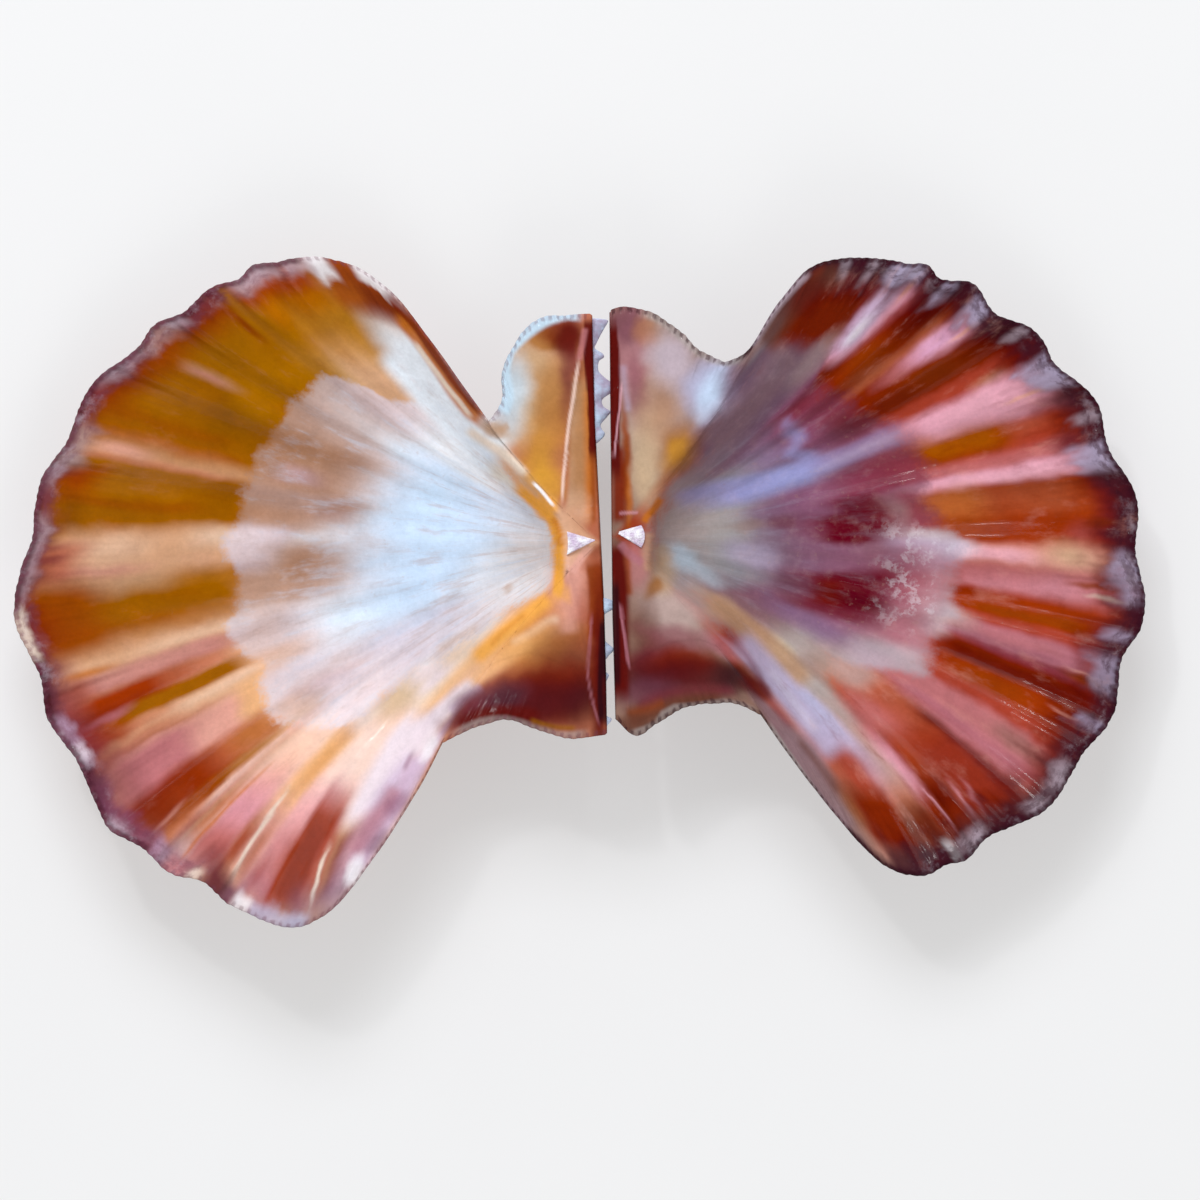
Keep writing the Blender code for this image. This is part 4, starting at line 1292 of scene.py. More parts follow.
LEFT_OUTER_RIM = (
    # The rim: ink where the troughs run out, pale ends on the crests, and pearl stretches that are painted
    # highlights.
    ("maroon", -.8, 20, 4.2, .6, 3.6),
    ("ink", -.4, .75, 2.6, .7, 2),
    ("ink", -.8, 20, 2.6, .8, 2.6),
    ("ink", -3, 24, .9, .7, 1.2),
    ("lilac", 9.6, 10.18, 3.4, .7, 2.2),
    ("lilac", 11.64, 12.4, 3.2, .7, 2.2),
    ("lilac", 14.1, 14.7, 2.6, .7, 2),
    ("lilac", 16.7, 18.1, 2.2, .75, 1.8, .4),
    ("lilac", 5.3, 6.1, 2.8, .45, 2),
    ("lilac", 7.2, 7.95, 2.4, .6, 2),
    ("pearl", 3.1, 3.7, 1.8, .5, 1.6),
    ("pearl", 1.05, 2, 1.6, .55, 1.4),
    ("white", .74, 1.02, 2.2, .4, 1.4, .2),
    ("pearl", 2.7, 3, 1.6, .5, 1, .2),
    ("lilac", 4.45, 4.7, 2.6, .45, 1.6, .2),
    ("lilac", 6.45, 6.7, 2.8, .45, 1.6, .2),
    ("pearl", 10.66, 10.9, 2.6, .4, 1.6, .2),
    ("pearl", 13.05, 13.3, 2.4, .4, 1.6, .2),
    ("lilac", 15.35, 15.8, 3, .5, 1.8, .25),
    ("pearl", 18.45, 18.7, 2.6, .35, 1.6, .2),
    ("pearl", 19.2, 19.5, 2.6, .45, 1.6, .2),
    ("soot", -3, 24, .25, .7, .5),
)
LEFT_OUTER = of_kind("band", LEFT_OUTER_BANDS) + of_kind("rim", LEFT_OUTER_RIM)

LEFT_NACRE_BANDS = (
    ("slate", (0, .4), -4, 24, .6, .2, 1),
    ("dusk", (.36, .9), 12, 24, .95, .12, 1.6),
    ("haze", (.6, .9), 17.8, 18.8, .4, .05, .5),
    ("chestnut", (.73, .9), 18.8, 20.9, .9, .05, .4),
    ("heather", (.3, .46), 9, 19, .7, .1, 1.4),
    ("slate", (.24, .34), 11, 17, .5, .08, 1.4),
    ("dusk", (.24, .6), 16, 24, .7, .1, 1),
    ("cinder", (.24, .9), 20.2, 24, .75, .1, .6),
    ("slate", (.24, .4), 17.6, 20, .35, .1, .6),
    ("fog", (.3, .64), -2.5, (3, 2.6), .9, .08, .8),
    ("lilac", (.46, .8), -2.4, (.2, .4), .8, .08, .6),
    ("taupe", (.24, .38), 0, 4.2, .75, .06, 1),
    ("dusk", (.22, .38), .6, 4.4, .6, .06, 1),
    ("walnut", (.48, .62), 1.4, (2.5, 2.4), .45, .05, .5),
    ("ivory", (.4, .455), .5, 2, .5, .03, .4),
    ("pearl", (.55, .9), 2.8, (8.6, 8.5), .65, .06, .6),
    ("mallow", (.46, .62), (3.6, 4.4), (7.8, 7.6), .75, .06, .6),
    ("wine", (.49, .56), (5.9, 6), 7.2, .45, .05, .4),
    ("wine", (.49, .57), 7.9, 9.2, .5, .04, .4),
    ("lilac", (.52, .72), (7.3, 7.4), (8.2, 8.1), .7, .04),
    ("mauve", (.3, .53), 3, 11.8, .9, .1, .8),
    ("dusk", (.26, .38), 3, 11, .6, .08, .8),
    ("heather", (.34, .5), 2.9, (4, 3.8), .55, .06, .5),
    ("pearl", (.52, .61), 2.6, (3.7, 3.6), .75, .04, .4),
    ("mallow", (.545, .65), 4.2, 8, .5, .04, .5),
    ("wine", (.5, .59), (5.8, 6), (8, 7.9), .55, .04, .4),
    ("mauve", (.48, .9), 9.6, (18, 17.8), .9, .06, .8),
    ("garnet", (.36, .53), (3.8, 4.4), (6.5, 7.3), .95, .06, .5),
    ("crimson", (.41, .53), (4.6, 5.3), (6.7, 7.2), .95, .04, .4),
    ("chestnut", (.395, .45), (4.6, 4.8), (6.2, 6.4), .5, .03, .4),
    ("crimson", (.4, .51), (7.98, 8.02), (9.3, 9.4), 1, .04, .25),
    ("crimson", (.44, .545), (8.1, 8.5), (10.1, 10.3), .9, .04, .4),
    ("wine", (.46, .66), 10, 11.6, .8, .06, .4),
    ("crimson", (.54, .66), 10.2, 11.2, .4, .05, .4),
    ("garnet", (.34, .42), 8.3, (9.6, 9.4), .4, .04, .5),
    ("wine", (.565, .66), 8.5, (9.9, 9.8), .95, .03, .25),
    ("wine", (.5, .68), (10.2, 10.1), (11.95, 11.9), .6, .05, .4),
    ("heather", (.36, .7), (11.75, 11.8), (12.75, 12.65), 1, .08, .25),
    ("lilac", (.4, .7), 11.95, 12.4, .4, .08),
    ("steel", (.2, .46), (11.4, 11.6), (13.6, 13.2), .95, .1, .8),
    ("plum", (.51, .7), 12.8, 14.9, .95),
    ("garnet", (.575, .7), 13.2, 14.4, .6, .04, .4),
    ("wine", (.49, .7), 14.6, (17.4, 17.2), .75, .05, .6),
    ("mauve", (.44, .54), 13, 16.4, .6, .05, .6),
    ("garnet", (.52, .6), 16.2, 17.3, .45, .04, .4),
    ("steel", (.435, .475), 12.6, 14.4, .6, .02, .6),
    ("steel", (.465, .5), 14.2, 15.8, .6, .02, .6),
    ("steel", (.49, .52), 15.6, 16.8, .45, .02, .6),
)
LEFT_NACRE_LINES = (
    ("steel", ((5.6, 3.2), (9, 4.4), (13, 5.2), (17.5, 6), (21, 6.6)), .85, .85, 1.1),
)
LEFT_NACRE_PATCHES = (
    ("fog", (8.4, 1), (4.4, 2.4), 6, .75, 1.2),
    ("glacier", (6.9, -2.1), (1.6, 1.1), -20, .8, 1.2),
    ("glacier", (9.4, -3.9), (2, .8), -30, .55, 1.2),
    ("lilac", (14, -1.8), (2.8, 1.3), -10, .6, 1.2),
    ("taupe", (13.6, 1.3), (1.9, .6), 6, .45, 1.2),
    ("plum", (17.2, 1.6), (1.3, .8), 0, .7, 1),
    ("plum", (18.2, -4.6), (1.8, 1.5), 0, .5, 1.2),
    ("sand", (5.1, -1.8), (.8, .9), 0, .5, 1.2),
    ("sand", (10.4, -6.6), (3, .8), -22, .55, 1.2),
    ("slate", (12, -3.9), (2.6, 1.2), 0, .5, 1.2),
)
LEFT_NACRE = of_kind("band", LEFT_NACRE_BANDS) + of_kind("line", LEFT_NACRE_LINES)
LEFT_NACRE += of_kind("patch", LEFT_NACRE_PATCHES)

LEFT_EARS = (
    # The strip outside the fold, front and back.
    # Painted shade: the dusk and cinder lines darken the front fold and the dish beside it, where the wall
    # drops into shade.
    ("line", "dusk", ((5.6, 6.4), (8.4, 9.3), (11.4, 12.3), (14, 15.8), (17, 19)), 1.25, .9, 1.4),
    ("line", "cinder", ((9, 8.6), (12.4, 12), (15.8, 16.2), (18.6, 19.2)), 1.5, .55, 1.8),
    ("line", "umber", ((14.6, 18.8), (17.2, 22), (19.8, 24.8), (23.5, 26.6)), 1.1, .7, 1.6),
    ("patch", "maroon", (19.6, 24), (2.4, 1.4), 40, .7, 1.4),
    ("line", "pearl", ((13.9, 18.6), (15.5, 21.4), (17.8, 24.4), (20, 26.6)), .3, .55, .5),
    ("line", "tan", ((8.6, -6.4), (11.4, -7.6), (14.4, -9.6), (17.2, -12), (20, -15.2)), .95, .85, 1.2),
    ("line", "lilac", ((12.2, -9.6), (14.6, -12.2), (17.4, -15.6), (20.2, -19), (23, -22.4)
        ), 1.15, .9, 1.6),
    ("line", "white", ((15.6, -12.9), (18, -16.2), (20.8, -19.8)), .4, .15, .8),
    ("line", "wine", ((10.8, -9), (12.8, -11), (14.4, -13.4), (15.8, -16.2), (18.4, -19.8)), .36, .5, .8),
    ("line", "cinder", ((16.4, -18.6), (19.2, -22.4), (21.8, -26.4), (24, -29.8)), .8, .75, 1),
    ("line", "umber", ((18.4, -20), (20.6, -22.8), (22.8, -25.8)), .3, .5, .8),
    ("line", "fog", ((15.2, -18.2), (17.6, -21.8), (20.4, -25.8), (22.4, -28.6)), .34, .6, .4),
    # The back ear.
    ("patch", "haze", (6.2, -7.4), (3.6, 2.6), -30, .75, 1.2),
    ("patch", "sand", (5, -3.8), (1.3, 2), 0, .6, 1.2),
    ("patch", "rose", (2.4, -2.6), (1.4, 2.4), 0, .6, 1.2),
    ("patch", "ochre", (4.1, -5.2), (.8, 1), -30, .75, 1.2),
    ("patch", "umber", (3.2, -9.4), (1.4, 3), 0, .6, 1.3),
    ("patch", "wine", (6.4, -10.2), (3.6, 1.2), -14, .6, 1.2),
    ("patch", "garnet", (4.4, -12.8), (3, 2.2), 0, .9, 1),
    ("patch", "chestnut", (7.2, -12.6), (3.2, 1.6), 0, .9, 1),
    ("patch", "maroon", (4.6, -14.2), (5.4, 2.2), -6, .75, 1.2),
    ("patch", "plum", (3.6, -15.6), (3, 1.6), 10, .8, 1.2),
    ("patch", "maroon", (8.8, -13.6), (4.6, 1.6), -4, .8, 1),
    ("patch", "mallow", (10.8, -10.9), (2, .8), -35, .5, 1.2),
    ("patch", "soot", (12, -14), (2.2, 1.3), -12, .75, 1.6),
    ("patch", "maroon", (14.2, -15), (1.6, .9), -25, .8, 1),
    ("patch", "ink", (6.4, -14.6), (7, 1.6), -6, .35, 1.4),
    ("line", "umber", ((.8, -18.4), (3.4, -17.6), (5.4, -16.8), (8, -16.1), (11.4, -16)), 1, .95, 1.4),
    ("line", "garnet", ((2, -17.2), (5, -15.8), (9, -15.2), (13, -15.6)), .5, .6, 1.2),
    ("line", "rust", ((1.2, -17.6), (3.4, -17.2), (5.4, -16.4)), .4, .5, 1.2),
    ("patch", "umber", (2, -18.9), (2, 1), 0, .7, 1),
    ("line", "fog", ((1, -20), (4.4, -18.7), (5.6, -17.2), (8.4, -16.9), (11.6, -16.6), (14.8, -17.6)
        ), .35, .55, .5),
    # The hinge strip of the back ear, and its raised line.
    ("line", "rust", ((1, -.8), (1.1, -3), (1.3, -6.2)), .75, .85, .6),
    ("line", "maroon", ((.2, .4), (.5, -2.4), (.8, -5), (.9, -10), (.9, -14.4), (.8, -17)), .8, 1, .8),
    ("line", "soot", ((.3, -4), (.4, -9), (.5, -15.6)), .36, .75, .4),
    ("line", "mallow", ((.75, -6.4), (1.1, -9), (1.5, -12), (1.8, -13.5)), .13, .8, .18),
    # The front ear.
    ("patch", "haze", (4.6, 13.6), (3.4, 8), 0, .65, 1.4),
    ("patch", "mallow", (1.8, 18.6), (2, 4.4), 0, .65, 1.2),
    ("patch", "plum", (1.3, 21), (1.6, 2), 0, .7, 1),
    ("patch", "caramel", (3.4, 20.4), (1.2, 1.4), 0, .5, 1.3),
    ("patch", "wine", (2.6, 14.4), (.9, 3), 6, .55, 1.3),
    ("patch", "caramel", (4.9, 12.6), (1.6, 3.4), 8, .5, 1.7),
    ("patch", "sand", (3.4, 7.2), (1.4, 4.2), 4, .75, 1.5),
    ("patch", "tan", (4.6, 10.4), (1.6, 2.6), 20, .5, 1.3),
    ("patch", "ochre", (6.7, 8.8), (1.7, 2.4), -34, .85, 1.4),
    ("patch", "gold", (6.5, 8.4), (1.1, 1.8), -34, .4, 1.5),
    ("patch", "ochre", (5.6, 6.2), (.7, 2), -34, .4, 1.3),
    ("patch", "pearl", (6, 17.6), (2.2, 2.6), 20, .8, 1.2),
    # Painted highlight: the lilac, frost and ice patches are pale glossy streaks on the front ear.
    ("patch", "lilac", (9.8, 14.8), (2.4, 2.8), -30, .8, 1),
    ("patch", "frost", (9.6, 15), (1.8, 2.6), -20, .7, 1.2),
    ("patch", "ice", (9.9, 14.3), (1.2, 2.2), -24, .7, 1.3),
    ("patch", "dusk", (12.4, 15.4), (2, 1.6), 40, .6, 1.2),
    ("line", "fog", ((2.4, 22.4), (4.6, 21.8), (6.6, 20.2), (8.8, 18.3), (11.4, 17.4), (13.6, 18.2)
        ), .4, .6, .6),
    ("line", "umber", ((6.6, 5.6), (7.6, 8), (9.4, 10.6), (11.4, 13.2)), .3, .35, 1.2),
    ("line", "orange", ((3.2, 1.2), (3.5, 2), (4.2, 2.8), (5, 3.9)), .36, .85, .5),
    ("line", "tan", ((3.6, .6), (3.5, -1.6), (3.8, -3.6)), .5, .6, .7),
    # The slope from its raised line to the hinge edge.
    ("patch", "rust", (1.5, 7), (.5, 6.4), 2, .95, 1.5),
    ("patch", "orange", (1.9, 3.6), (.3, 2.6), 0, .45, 1.5),
    ("line", "chestnut", ((.7, .9), (.7, 3), (.7, 6), (.6, 9.4)), .62, .95, .8),
    ("line", "maroon", ((.3, 5), (.3, 11), (.35, 15), (.2, 18.5), (-.1, 22.4)), .5, 1, .3),
    ("line", "lilac", ((1.1, 17.4), (1.3, 15), (1.6, 12.2)), .3, .4, .7),
    ("line", "petal", ((1, 15.6), (.75, 13), (.5, 10.5), (.2, 7.6)), .09, .7, .14),
    ("line", "pink", ((.6, 2.3), (1.6, 2.35), (2.7, 2.4)), .14, .45, .25),
    ("line", "mallow", ((.7, -.5), (1.8, -1.8), (3.2, -2.8)), .4, .65, .6),
)

LEFT_VALVE["grounds"] = ("brick", "fog", "taupe")
LEFT_VALVE["marks"] = (LEFT_OUTER, LEFT_NACRE, LEFT_EARS)
LEFT_VALVE["pallial"] = (
    (-4.0, 0.46), (-0.6, 0.48), (0.4, 0.56), (1.2, 0.58), (2.2, 0.55), (2.6, 0.51), (2.9, 0.56),
    (3.3, 0.61), (3.75, 0.675), (4.2, 0.66), (4.8, 0.64), (5.8, 0.65), (6.1, 0.685), (6.6, 0.645),
    (7.4, 0.64), (7.7, 0.665), (8.05, 0.695), (8.5, 0.63), (9.6, 0.61), (10.1, 0.65), (10.5, 0.65),
    (11.6, 0.64), (12.2, 0.66), (13.0, 0.64),
    (14.5, 0.63), (16.0, 0.62), (17.4, 0.62), (18.2, 0.74), (19.5, 0.76), (21.0, 0.74), (22.0, 0.70),
)


def pallial_distance(valve, s):
    """How far a point lies outside the nacre, in mm: beyond the pallial line or the folds."""
    ribs, line = np.array(valve["pallial"]).T
    wander = 0.012 * clouds(s.rib * 1.6, s.growth * 0, 91)
    beyond = (s.growth - np.interp(s.rib, ribs, line) - wander) * s.radius
    return np.maximum(beyond, -s.depth)


def coats(valve, s):
    """The colours of the outer coat and of the nacre, each with the ears laid over it."""
    made = []
    outer, nacre, ears = valve["grounds"]
    outer_marks, nacre_marks, ear_marks = valve["marks"]
    for ground, marks in ((outer, outer_marks), (nacre, nacre_marks)):
        coat = Coat(s, ground)
        coat.lay_all(marks)
        coat.lay(ears, ear_share(valve, s))
        coat.lay_all(ear_marks)
        made.append(coat.color)
    return made


# ---------------------------------------------------------------- shaders

class Socket:
    """One output of a node, so that sums on outputs read as Python expressions."""

    def __init__(self, finish, output):
        self.finish, self.output = finish, output

    def math(self, operation, *values):
        return self.finish.node("Math", {"operation": operation}, dict(enumerate(values))).out()

    def __add__(self, other):
        return self.math("ADD", self, other)

    def __sub__(self, other):
        return self.math("SUBTRACT", self, other)

    def __rsub__(self, other):
        return self.math("SUBTRACT", other, self)

    def __mul__(self, other):
        return self.math("MULTIPLY", self, other)

    __radd__ = __add__
    __rmul__ = __mul__

    def cosine(self):
        return self.math("COSINE", self)

    def rise(self, low, high):
        """0 below low, 1 above high, and a smooth rise between."""
        ends = {"Value": self, "From Min": low, "From Max": high}
        return self.finish.node("MapRange", {"interpolation_type": "SMOOTHSTEP"}, ends).out()


class Node:
    """A node whose outputs are taken by name or number."""

    def __init__(self, finish, node):
        self.finish, self.node = finish, node

    def out(self, name=0):
        return Socket(self.finish, self.node.outputs[name])


class Finish:
    """A material, built one node at a time."""

    def __init__(self, tree):
        self.tree = tree
        tree.nodes.clear()

    def node(self, kind, settings=None, inputs=None):
        """A new node: its settings first, then the values or links of its sockets."""
        made = self.tree.nodes.new("ShaderNode" + kind)
        for name, value in (settings or {}).items():
            setattr(made, name, value)
        for name, value in (inputs or {}).items():
            if isinstance(value, Socket):
                self.tree.links.new(value.output, made.inputs[name])
            else:
                made.inputs[name].default_value = value
        return Node(self, made)

    def mix(self, factor, first, second, blend="MIX"):
        """A colour between first and second."""
        settings = {"data_type": "RGBA", "blend_type": blend, "clamp_factor": True}
        return self.node("Mix", settings, {0: factor, 6: first, 7: second}).out(2)

    def attribute(self, name, output="Vector"):
        return self.node("Attribute", {"attribute_name": name}).out(output)

    def split(self, vector):
        parts = self.node("SeparateXYZ", None, {0: vector})
        return [parts.out(axis) for axis in ("X", "Y", "Z")]

    def join(self, x, y, z):
        return self.node("CombineXYZ", None, {"X": x, "Y": y, "Z": z}).out()

    def noise(self, vector, scale, detail=3.0, rough=0.5):
        """Soft noise about 0.5."""
        inputs = {"Vector": vector, "Scale": scale, "Detail": detail, "Roughness": rough}
        return self.node("TexNoise", None, inputs).out(0)

    def object_place(self):
        return self.node("TexCoord").out("Object")


def color(name):
    """A pigment as a socket's colour."""
    return tuple(linear(name)) + (1.0,)


def new_finish(name):
    material = bpy.data.materials.new(name)
    material.use_nodes = True
    return material, Finish(material.node_tree)


def surface(finish, base, rough, height, depth, **constants):
    """The finish's one surface: a principled shader over a bump of that depth in metres."""
    normal = finish.node("Bump", None, {"Strength": 1.0, "Distance": depth, "Height": height}).out()
    inputs = {"Base Color": base, "Roughness": rough, "Normal": normal}
    inputs.update({name.replace("_", " "): value for name, value in constants.items()})
    shader = finish.node("BsdfPrincipled", None, inputs).out()
    finish.node("OutputMaterial", None, {"Surface": shader})


# How much the dish's colours gain in saturation.
RICHER = 0.05

# Sizes of the noises in the inside's finish, in cells to a metre.
CLOUD_SCALE = 260.0
VEIN_SCALE = 420.0
MOTTLE_SCALE = 620.0
SPECK_SCALE = 1500.0
GRAIN_SCALE = 2600.0

# How far the relief of the inside's finish stands, in metres.
INSIDE_RELIEF = 0.00006


def along_ribs(f, rib, growth, pace, number):
    """Where to take a noise drawn out along the ribs, from its pace across and along them."""
    across, along = pace
    return f.join(rib * across, growth * along, number)


def inside_finish(name, edge, lip_strength, stain_streaks, nacre_streaks, veins, soft_line):
    """The glossy inside: an outer coat stained along its ribs, nacre inside the pallial line.

    The pallial line and its softness, the streaks along the ribs, the specks, the pale
    veins beside the line and the teeth of the border are worked out here from the growth
    of the shell. The stains themselves are attributes.
    """
    material, f = new_finish(name)
    pallial, inset, arc = f.split(f.attribute("growth_mm"))
    rib, growth, depth = f.split(f.attribute("rib_place"))
    place = f.object_place()

    streaks = f.noise(along_ribs(f, rib, growth, (1.7, 9.0), 0.0), 1.0, 5.0, 0.62)
    fine_streaks = f.noise(along_ribs(f, rib, growth, (6.0, 30.0), 3.0), 1.0, 3.0, 0.6)
    cloud = f.noise(place, CLOUD_SCALE, 4.0, 0.6) - 0.5
    grain = f.noise(place, GRAIN_SCALE, 3.0, 0.6) - 0.5
    mottle = f.noise(place, MOTTLE_SCALE, 4.0, 0.6) - 0.5

    # Two coats, and the outer one shows a little through the nacre by the pallial line.
    on_disc = depth.rise(-1.5, 0.5)
    stained = on_disc * stain_streaks
    beyond = (pallial + mottle + cloud * 3.6 + grain * 1.2).rise(-soft_line, soft_line)
    through = (pallial + mottle * 3.0).rise(-8.0, 0.0)
    outer = f.attribute("outer_coat", "Color")
    outer = f.mix((streaks - 0.5).rise(0.02, 0.25) * stained * 0.6, outer, color("salmon"))
    outer = f.mix((0.5 - streaks).rise(0.02, 0.25) * stained, outer, color("chestnut"))
    nacre = f.attribute("nacre_coat", "Color")
    nacre = f.mix(mottle.rise(0.0, 0.3) * 0.12, nacre, color("haze"))
    by_beak = nacre_streaks * (1 + 0.5 * (1 - growth.rise(0.28, 0.42))) * on_disc
    nacre = f.mix((streaks - 0.5).rise(0.0, 0.20) * by_beak, nacre, color("ice"))
    nacre = f.mix((0.5 - streaks).rise(0.0, 0.20) * by_beak, nacre, color("smoke"))
    specks = f.noise(place, SPECK_SCALE, 2.0, 0.5).rise(0.66, 0.72)
    nacre = f.mix(specks * 0.12, nacre, color("smoke"))

    # Pale veins in a patch beside the pallial line, thin where a noise crosses its middle.
    web = f.noise(place, VEIN_SCALE, 5.0, 0.65) - 0.5
    patch = pallial.rise(-9.0, -5.0) * (1 - pallial.rise(-2.5, -0.5)) * growth.rise(0.42, 0.48)
    patch = patch * rib.rise(4.4, 5.6) * (1 - rib.rise(8.0, 9.2))
    lines = (1 - (web * web).rise(0.0, 0.004)) * (mottle + 0.1).rise(0.0, 0.20)
    nacre = f.mix(lines * patch * veins, nacre, color("milk"))
    nacre = f.mix(through * 0.20, nacre, outer)
    tint = f.mix(beyond, nacre, outer)

    # The border: dark blots, stray pale flecks, and a thin broken dark line at the very lip.
    ragged = f.noise(f.join(arc * 0.9, inset * 0.7, 0.0), 1.0, 3.0, 0.6)
    blots = f.noise(f.join(arc * 0.42, inset * 0.7, 11.0), 1.0, 4.0, 0.65).rise(0.42, 0.60)
    border = (1 - (inset + (ragged - 0.5) * 2.6).rise(1.0, 2.6)) * on_disc
    tint = f.mix(border * blots * lip_strength, tint, color(edge))
    flecks = f.noise(f.join(arc * 0.5, inset * 0.5, 7.0), 1.0, 4.0, 0.65).rise(0.47, 0.72)
    flecks = flecks * (1 - inset.rise(0.2, 2.6)) * on_disc
    tint = f.mix(flecks * (0.65 - 0.6 * lip_strength), tint, color("pearl"))
    dashes = (arc * (2 * math.pi / TOOTH_PITCH) + ragged * 5.0).cosine().rise(-0.5, 0.7)
    lip = (1 - (inset + (ragged - 0.5) * 1.2).rise(0.10, 0.45)) * (0.25 + 0.75 * dashes)
    tint = f.mix(lip * lip_strength, tint, color(edge))

    shade = 0.98 + (fine_streaks - 0.5) * on_disc * 0.10 + cloud * 0.32 + grain * 0.20 + mottle * 0.26
    tint = f.mix(1.0, tint, f.join(shade, shade, shade), "MULTIPLY")
    tint = f.node("HueSaturation", None, {"Saturation": on_disc * RICHER + 1, "Color": tint}).out()

    rough = 0.26 + mottle * 0.16 + (1 - beyond) * 0.12
    height = fine_streaks * on_disc * 0.25 + grain * 0.3 + mottle * 0.4 + cloud * 0.5
    surface(f, tint, rough, height, INSIDE_RELIEF, Specular_IOR_Level=0.01, Coat_Weight=0.04,
            Coat_Roughness=0.06)
    return material


OUTSIDE_GRAIN_SCALE = 2200.0
OUTSIDE_RELIEF = 0.00010


def outside_finish(name, ground, stain, pale):
    """The outside: a stained ground with pale blotches and growth lines, almost matt."""
    material, f = new_finish(name)
    rib, growth, _ = f.split(f.attribute("rib_place"))
    place = f.object_place()
    blotch = f.noise(along_ribs(f, rib, growth, (0.55, 6.0), 0.0), 1.0, 4.0, 0.55)
    rings = f.noise(along_ribs(f, rib, growth, (0.25, 60.0), 5.0), 1.0, 3.0, 0.6)
    grain = f.noise(place, OUTSIDE_GRAIN_SCALE, 3.0, 0.6)
    tint = f.mix((rings - 0.4).rise(0.0, 0.35), color(ground), color(stain))
    tint = f.mix((blotch - 0.56).rise(0.0, 0.05) * 0.8, tint, color(pale))
    tint = f.mix((grain - 0.5).rise(0.0, 0.3) * 0.3, tint, color("cream"))
    rough = 0.5 + (grain - 0.5) * 0.3
    surface(f, tint, rough, rings * 0.7 + grain * 0.3, OUTSIDE_RELIEF)
    return material


def plain_finish(name, first, second, scale, rough_low, depth):
    """Two pigments mottled into each other, with a grain of the same size in relief."""
    material, f = new_finish(name)
    place = f.object_place()
    mottle = f.noise(place, scale, 4.0, 0.65)
    fine = f.noise(place, scale * 4, 3.0, 0.6)
    tint = f.mix(mottle.rise(0.35, 0.65), color(first), color(second))
    surface(f, tint, rough_low + fine * 0.2, mottle * 0.6 + fine * 0.4, depth)
    return material


# ---------------------------------------------------------------- small pieces

def slab(top, bottom):
    """The closed faces between two grids of the same shape, one over the other."""
    rows, columns = top.shape[:2]
    number = np.arange(rows * columns).reshape(rows, columns)
    under = number + rows * columns
    rim = np.concatenate((number[0, :-1], number[:-1, -1], number[-1, :0:-1], number[:0:-1, 0]))
    ring = np.append(rim, rim[0])
    sides = quads(np.stack((ring, ring + rows * columns)))
    points = np.vstack((top.reshape(-1, 3), bottom.reshape(-1, 3)))
    return points, np.vstack((quads(number), quads(under)[:, ::-1], sides[:, ::-1]))


# The ligament wedge: points along and across it, how coarse its top crumbles, and how far
# its base stands over its tip and its edge falls.
LIGAMENT_GRID = 44
CRUMBLE = 0.10
CRUMBLE_PACE = 3.1
PAD_RISE = 0.16
PAD_EDGE = 0.16


def ligament_pad(valve):
    """What is left of the ligament: a crisp wedge with a coarse, crumbled top.

    Its half width grows evenly from tip to base, and its base bows out by bow * (1 - t^2).
    """
    tip, base, tip_b, base_b, half, bow = valve["ligament"]
    from_tip, side_to_side = np.linspace(0.02, 1, LIGAMENT_GRID), np.linspace(-1, 1, LIGAMENT_GRID)
    s, t = np.meshgrid(from_tip, side_to_side, indexing="ij")
    a = tip + (base - tip) * s + bow * s ** 3 * (1 - t * t)
    b = tip_b + (base_b - tip_b) * s + half * s * t
    border = np.minimum(1 - np.abs(t), 1 - s)
    level = PLATE_LEVEL + LIGAMENT_PROUD
    crumble = CRUMBLE * clouds(a * CRUMBLE_PACE, b * CRUMBLE_PACE, 101, 4)
    crumble += CRUMBLE / 2 * noise(a * 11, b * 11, 105)
    height = level + PAD_RISE * s * (1 - 0.6 * t * t) + crumble
    height -= PAD_EDGE * (1 - step(border / PAD_EDGE))
    floor = np.full_like(a, level - LIGAMENT_THICK)
    x = valve["side"] * a
    return np.stack((x, b, height), axis=-1), np.stack((x, b, floor), axis=-1)


# The crust of scales along the right valve's hinge: how far it reaches beyond the hinge
# line at places along it.
FRONT_CRUST = (
    (22.4, 0.6), (22.2, -0.35), (21.6, -0.1), (20.8, 0.35), (19.9, 0.8), (19.4, 0.95), (18.9, 0.2),
    (18.5, 0.05), (18.1, 0.55), (17.2, 0.6), (16.6, 0.1), (15.7, -0.95), (15.0, -0.7), (14.3, 0.2),
    (13.6, 0.1), (13.1, -0.6), (12.6, -0.3), (11.8, 0.35), (11.3, 0.25), (10.9, -0.05),
    (10.4, 0.2), (9.8, 0.9),
)
BACK_CRUST = (
    (-5.4, 0.3), (-5.8, -0.85), (-6.1, -1.15), (-6.6, -0.9), (-7.2, 0.0), (-8.0, 0.15), (-9.6, 0.05),
    (-10.6, -0.9), (-11.3, -0.4), (-12.0, 0.0), (-12.8, -0.1), (-13.2, -0.45), (-13.8, -0.2),
    (-14.3, 0.1), (-16.8, 0.1), (-17.3, -0.3), (-17.6, -0.74), (-18.2, -0.3), (-18.9, 0.3),
)


# Points along and across the crust, how far it tucks in past the hinge line, and its level
# and thickness there.
CRUST_COLUMNS = 150
CRUST_ROWS = 13
CRUST_OVERLAP = 0.7
CRUST_LEVEL = -0.95
CRUST_THICK = 0.45


